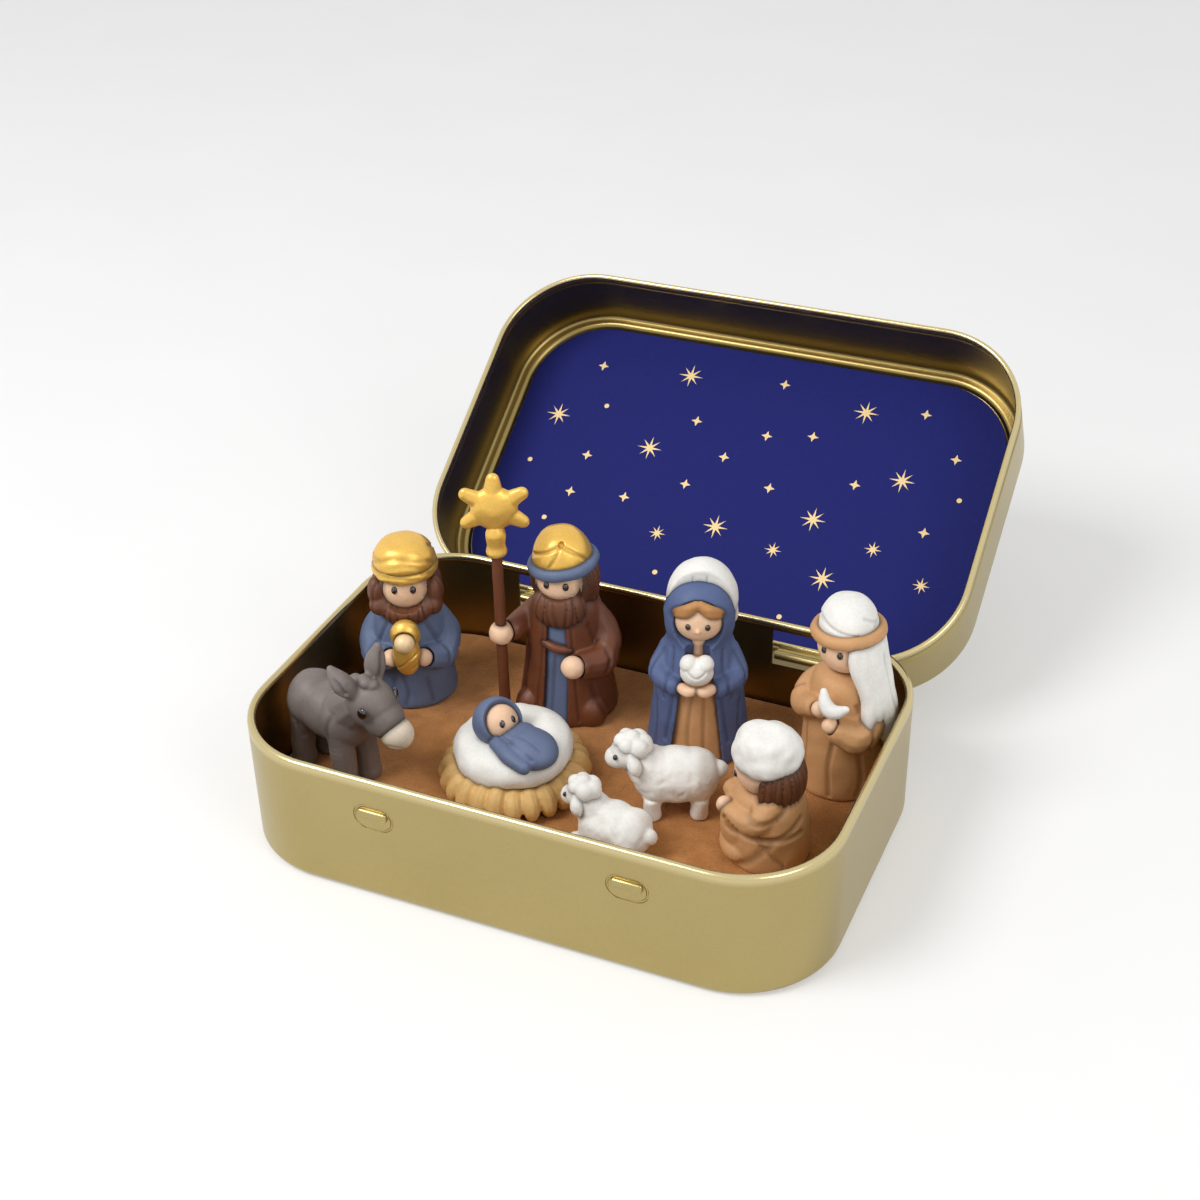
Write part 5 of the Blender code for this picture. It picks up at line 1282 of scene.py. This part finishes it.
muzzle.line(nose_at + Vector((-2.4, -0.6, -0.9)), nose_at + Vector((-0.9, -2.4, -1.4)),
            nose_at + Vector((1.2, -2.5, -1.3)), width=0.35, depth=0.25)
donkey.add("donkey_muzzle", muzzle.knead(0.08), CREAM)
beads = Lump()
for x, turn in ((-2.65, 0), (4.05, 134)):
    beads.ball((x, -11.3, 17.3), (0.5, 0.9, 1.15), (35, 0, turn), segments=24)
donkey.add("donkey_body", beads.plain(), EYE, "eyes")
donkey.shade_seams()

# %% [markdown]
# ## The sheep
# Two white sheep, one on short legs and one lying down. Their wool is lumps pressed on a loaf and drawn
# with waves, and a cap of small lumps sits on the head.

# %% Sheep
def sheep_head(flock, name, spot, size):
    """A smooth face with drooping ears under a cap of wool."""
    face = Lump().ball(spot, (size * 0.92, size * 1.05, size))
    face.ball(spot + Vector((0, -0.62 * size, -0.3 * size)), (0.68 * size, 0.75 * size, 0.62 * size))
    for side in (-1, 1):
        face.roll((*(spot + Vector((side * 0.8, 0.1, 0.25)) * size), 0.3 * size),
                  (*(spot + Vector((side * 1.12, 0.25, -0.2)) * size), 0.4 * size),
                  (*(spot + Vector((side * 1.1, 0.35, -0.62)) * size), 0.22 * size))
    face = Skin(face.fired(fine=0.17, relax=3))
    flock.add(f"{name}_head", face.knead(0.08, 1.6), WHITE)
    cap = Lump()
    for x, y, z, r in ((0, -0.4, 0.72, 0.48), (-0.42, -0.15, 0.7, 0.48), (0.42, -0.15, 0.7, 0.48),
                       (0, 0.1, 0.82, 0.56), (-0.42, 0.45, 0.52, 0.6), (0.42, 0.45, 0.52, 0.6),
                       (0, 0.62, 0.46, 0.66)):
        cap.ball(spot + Vector((x, y, z)) * size, r * size, segments=20)
    cap = Skin(cap.fired(fine=0.17, relax=3))
    flock.add(f"{name}_wool_cap", cap.knead(0.08, 1.6), WHITE)
    dots = Lump()
    for side in (-1, 1):
        dots.ball(spot + Vector((side * 0.66, -0.78, 0.12)) * size, (0.14 * size, 0.14 * size, 0.17 * size),
                  segments=16)
    flock.add(f"{name}_head", dots.plain(), EYE, "eyes")


sheep = Figure("standing_sheep", 16.04, -1.23, -67)
fleece = Lump().ball((0, 0.4, 6.3), (4.3, 6.5, 4.5)).roll((0, -4.0, 7.8, 3.5), (0, -5.9, 9.7, 2.7))
fleece.ball((0, 3.0, 6.3), (4.2, 3.7, 4.4)).ball((0, -2.6, 6.2), (4.1, 3.9, 4.5))
for x in (-2.24, 2.24):
    for y in (-3.58, 3.58):
        fleece.turned([(1.4, 3.4), (1.4, 1.6), (1.45, 0.3), (1.3, UNDER)], (x, y, 0), steps=32)
fleece.ball((0, 6.4, 7.15), 1.5)
fleece = Skin(fleece.fired([below(9)], relax=6))
for turn, low in ((30, 5.0), (60, 7.6), (85, 4.6), (110, 7.8), (140, 5.4), (-40, 6.4), (-90, 5.2),
                  (-130, 7.2)):
    fleece.crease((turn - 12, low + 0.9), (turn, low), (turn + 12, low + 0.8), width=0.8, depth=0.1,
                  about=(0, 0.4))
sheep.add("standing_sheep_body", fleece.knead(0.3, 2.8), WHITE)
sheep_head(sheep, "standing_sheep", Vector((0, -6.96, 10.65)), 2.8)
sheep.shade_seams()

lamb = Figure("lying_sheep", 10.79, -12.89, -95)
fleece = Lump().ball((0, 0.2, 3.2), (4.0, 5.8, 4.0)).roll((0, -3.2, 4.8, 3.0), (0, -4.6, 6.6, 2.4))
fleece.ball((0, 2.6, 3.1), (4.0, 3.4, 3.9)).ball((0, -2.2, 3.1), (3.9, 3.4, 3.9))
fleece.roll((2.2, -3.4, 1.0, 1.2), (2.3, -5.4, 0.9, 1.0)).roll((-2.2, -3.4, 1.0, 1.2), (-2.3, -5.4, 0.9, 1.0))
fleece.ball((0, 5.8, 3.6), 1.3)
fleece = Skin(fleece.fired([below(9)], relax=6))
for turn, low in ((35, 3.2), (65, 5.2), (90, 3.0), (120, 5.0), (150, 3.4), (-60, 4.4), (-120, 4.0)):
    fleece.crease((turn - 12, low + 0.8), (turn, low), (turn + 12, low + 0.7), width=0.8, depth=0.1)
lamb.add("lying_sheep_body", fleece.knead(0.3, 2.8), WHITE)
sheep_head(lamb, "lying_sheep", Vector((0, -5.43, 7.63)), 2.5)
lamb.shade_seams()

# %% [markdown]
# ## The standing shepherd
# A tan robe with wide sleeves. The white scarf is a dome held by a tan ring, and its tail sweeps down the
# back.

# %% Standing shepherd
shepherd = Figure("standing_shepherd", 37.05, 15.66, -16)
head = shepherd.middle("standing_shepherd_head")
HEAD = 4.6
RING = head.z + 2.67
hands = {side: shepherd.middle(f"standing_shepherd_{name}_hand") for side, name in SIDES}
robe = Lump().turned([(2.4, 21.2), (4.6, 19.7), (5.6, 15.8), (6.1, 10.5), (6.4, 4.2), (6.65, 0.7),
                      (6.4, UNDER)])
cuffs = Lump().ball(hands[-1], 1.5).ball(hands[1], 1.5)
robe.roll((-3.3, 0.3, 18.7, 1.7), (-5.3, -1.3, 16.0, 2.1), (-4.6, -4.3, 14.6, 2.1), (-1.7, -6.2, 16.2, 1.7))
robe.roll((3.3, 0.3, 18.7, 1.8), (5.5, -1.3, 14.4, 2.5), (5.2, -4.2, 12.4, 2.7), (3.1, -6.0, 13.6, 2.2))
robe = Skin(robe.fired([cuffs]))
robe.crease((20, 11.0), (14, 6.0), (18, 0.8), width=0.7, depth=0.3)
robe.crease((-34, 11.6), (-30, 6.0), (-34, 0.8), width=0.7, depth=0.2)
robe.crease((52, 17.0), (64, 13.8), (58, 10.2), width=0.7, depth=0.3)
robe.crease((84, 12.4), (92, 10.4), (78, 8.8), width=0.6, depth=0.25)
robe.crease((56, 9.0), (62, 4.0), (56, 0.8), width=0.8, depth=0.2)
robe.crease((-60, 17.0), (-66, 14.0), (-56, 12.0), width=0.6, depth=0.25).knead(0.12)
shepherd.add("standing_shepherd_robe", robe, TAN)
shepherd.add("standing_shepherd_head", bare_ball(head, HEAD), SKIN)
shepherd.eyes("standing_shepherd_head", head, HEAD, 18, 0.5, (0.48, 0.6))
for side, name in SIDES:
    shepherd.add(f"standing_shepherd_{name}_hand", mitten(hands[side], 1.25), SKIN)
LEAN_RING = (0, -5, 0)
ring = Skin(Lump().ring((0, 0, RING), 4.75, 1.05, 1.15, LEAN_RING).fired())
shepherd.add("standing_shepherd_ring", ring.knead(0.12), TAN)
scarf = Lump().turned([(1.0, 5.5), (2.8, 4.8), (4.0, 3.2), (4.45, 1.4), (4.5, -0.5)], (0, 0, RING), LEAN_RING)
scarf = Skin(scarf.fired())
scarf.crease((-90, RING + 1.8), (-40, RING + 2.6), (10, RING + 1.8), (50, RING + 1.2), width=0.5, depth=0.25)
scarf.crease((70, RING + 3.6), (110, RING + 2.2), (150, RING + 2.4), width=0.5, depth=0.2).knead(0.12)
shepherd.add("standing_shepherd_scarf", scarf, WHITE)
tail = Lump()
TAIL_ROLLS = 11
for i in range(TAIL_ROLLS):
    start, middle_turn, end = 46 + 15 * i, 66 + 11 * i, 92 + 6 * i
    hem = 9.5 + 0.9 * max(0, 2.2 - i) + 0.12 * max(0, i - 3)
    stops = []
    for turn, reach, z, r in ((start, 4.6, RING - 0.2, 0.95), (start, 5.2, 24.0, 1.05),
                              (middle_turn, 6.0, 19.0, 1.25), (middle_turn, 7.0, 14.0, 1.2),
                              (end, 7.0, hem, 1.05)):
        around = math.radians(turn)
        stops.append((reach * math.sin(around), -reach * math.cos(around), z, r))
    tail.roll(*stops, steps=12)
tail = Skin(tail.fired(relax=16))
tail.crease((100, 25.0), (104, 18.0), (118, 11.0), width=0.7, depth=0.25)
tail.crease((140, 26.0), (136, 18.0), (132, 11.0), width=0.7, depth=0.22).knead(0.12)
shepherd.add("standing_shepherd_scarf_tail", tail, WHITE)
moon = Lump().roll((0.9, -7.5, 20.8, 0.6), (1.55, -7.9, 18.95, 1.1), (2.95, -7.8, 18.05, 1.2),
                   (4.6, -7.0, 18.8, 0.6))
shepherd.add("standing_shepherd_crescent", Skin(moon.fired(fine=0.16)).knead(0.06, 1.5), WHITE)
shepherd.shade_seams()

# %% [markdown]
# ## The seated shepherd
# A low mound of tan clay with knees and crossed arms, bobbed brown hair and a puffed white cap that hangs
# over it.

# %% Seated shepherd
seated = Figure("seated_shepherd", 32.36, -5.16, -76)
head = seated.middle("seated_shepherd_head")
HEAD = 4.4
robe = Lump().turned([(2.8, 12.6), (4.8, 11.2), (5.8, 8.0), (6.25, 4.0), (6.3, 1.0), (6.1, UNDER)])
robe.ball((0, -3.9, 5.5), (4.7, 3.3, 5.2)).ball((0, -3.6, 1.9), (5.6, 3.6, 2.6))
for side in (-1, 1):
    robe.roll((side * 3.8, 0.6, 11.0, 1.9), (side * 5.1, -2.0, 8.6, 1.95), (side * 2.6, -5.6, 8.7, 1.55))
robe = Skin(robe.fired([below(12)]))
for side in (-1, 1):
    robe.crease((side * 150, 8.6), (side * 110, 6.6), (side * 70, 6.2), (side * 30, 6.4), width=0.8,
                depth=0.3)
    robe.crease((side * 100, 6.0), (side * 80, 3.4), (side * 62, 1.4), width=1.2, depth=0.2)
    robe.crease((side * 120, 10.8), (side * 96, 9.6), (side * 72, 9.8), width=0.9, depth=0.14)
seated.add("seated_shepherd_robe", robe.knead(0.14), TAN)
seated.add("seated_shepherd_head", bare_ball(head, HEAD), SKIN)
seated.eyes("seated_shepherd_head", head, HEAD, 24, -0.6, (0.46, 0.58))
CAP = head.z + 0.9
cap = Lump().turned([(1.5, 6.0), (3.2, 5.3), (4.5, 3.6), (5.05, 1.7), (4.9, 0.4), (4.2, -0.4)],
                    (0, head.y + 0.4, CAP))
cap = Skin(cap.fired()).knead(0.6, 3.4).knead(0.16, 1.6)
seated.add("seated_shepherd_cap", cap, WHITE)
hair = Lump().ball((0, 0.7, 13.9), (5.1, 4.8, 5.4))
hair = Skin(hair.fired([Lump().block((-9, -12, 5), (9, -1.5, 25))]))
hair.strands(40, 320, 11, 17.5, 8.4, (0, 0.0), 4.0, 0.2)
seated.add("seated_shepherd_hair", hair.knead(0.08), HAIR)
hand_at = seated.middle("seated_shepherd_hand")
seated.add("seated_shepherd_hand", mitten(hand_at, 1.25), SKIN)
seated.shade_seams()

# %% [markdown]
# ## The studio
# A white sweep under soft light: a pale sky all round, a broad lamp above on the left and a weaker one on
# the right. The floor keeps the tin's shadow, and the sky looks white to the camera and in the metal.

# %% Floor, sky and lamps
SEEING_RAYS = ("Is Camera Ray", "Is Glossy Ray", "Is Transmission Ray")
FLOOR_GLOW = 0.3
FLOOR_HALF = 1.6
SKY_LIGHT = 0.56
LAMP_SIZE = 0.30
KEY_POWER, FILL_POWER = 2.4, 0.6
LIT_POINT = Vector((0, 0, 0.02))


def floor():
    shape = bmesh.new()
    bmesh.ops.create_grid(shape, x_segments=1, y_segments=1, size=FLOOR_HALF)
    mesh = as_mesh(shape, "floor")
    finish = Finish("white_floor", Roughness=0.9, Specular_IOR_Level=0.1)
    cloud = finish.noise(finish.place(), 30)
    finish.feed("Base Color", finish.mix(cloud, paint(244, 244, 244), paint(250, 250, 250)))
    rays = [finish.node("ShaderNodeLightPath", {}, {}, ray) for ray in SEEING_RAYS]
    glow = finish.node("ShaderNodeEmission", {}, {"Color": (1, 1, 1, 1), "Strength": 1.0})
    share = (rays[0] + rays[1] + rays[2]) * FLOOR_GLOW
    white = Wire(finish, finish.shader.outputs[0])
    blend = finish.node("ShaderNodeMixShader", {}, {0: share, 1: white, 2: glow})
    output = finish.tree.nodes["Material Output"]
    finish.tree.links.new(blend.socket, output.inputs["Surface"])
    mesh.materials.append(finish.material)
    piece = link(mesh, "floor")
    return piece


def sky(strength):
    world = bpy.data.worlds.new("sky")
    world.use_nodes = True
    SCENE.world = world
    nodes, links = world.node_tree.nodes, world.node_tree.links
    light = nodes["Background"]
    light.inputs["Color"].default_value = (1, 1, 1, 1)
    light.inputs["Strength"].default_value = strength
    seen = nodes.new("ShaderNodeBackground")
    seen.inputs["Strength"].default_value = 1.0
    seen.inputs["Color"].default_value = (1, 1, 1, 1)
    path = nodes.new("ShaderNodeLightPath")
    blend = nodes.new("ShaderNodeMixShader")
    seeing = path.outputs[SEEING_RAYS[0]]
    for ray in SEEING_RAYS[1:]:
        either = nodes.new("ShaderNodeMath")
        either.operation = "MAXIMUM"
        links.new(seeing, either.inputs[0])
        links.new(path.outputs[ray], either.inputs[1])
        seeing = either.outputs[0]
    links.new(seeing, blend.inputs[0])
    links.new(light.outputs[0], blend.inputs[1])
    links.new(seen.outputs[0], blend.inputs[2])
    links.new(blend.outputs[0], nodes["World Output"].inputs["Surface"])


def lamp(name, x, y, z, power):
    data = bpy.data.lights.new(name, "AREA")
    data.shape = "DISK"
    data.size = LAMP_SIZE
    data.energy = power
    piece = bpy.data.objects.new(name, data)
    SCENE.collection.objects.link(piece)
    piece.location = (x, y, z)
    piece.rotation_euler = (LIT_POINT - piece.location).to_track_quat("-Z", "Y").to_euler()


floor()
sky(SKY_LIGHT)
lamp("key", -0.28, -0.30, 0.52, KEY_POWER)
lamp("fill", 0.40, -0.20, 0.36, FILL_POWER)
print("lamps:", [light.name for light in bpy.data.lights])
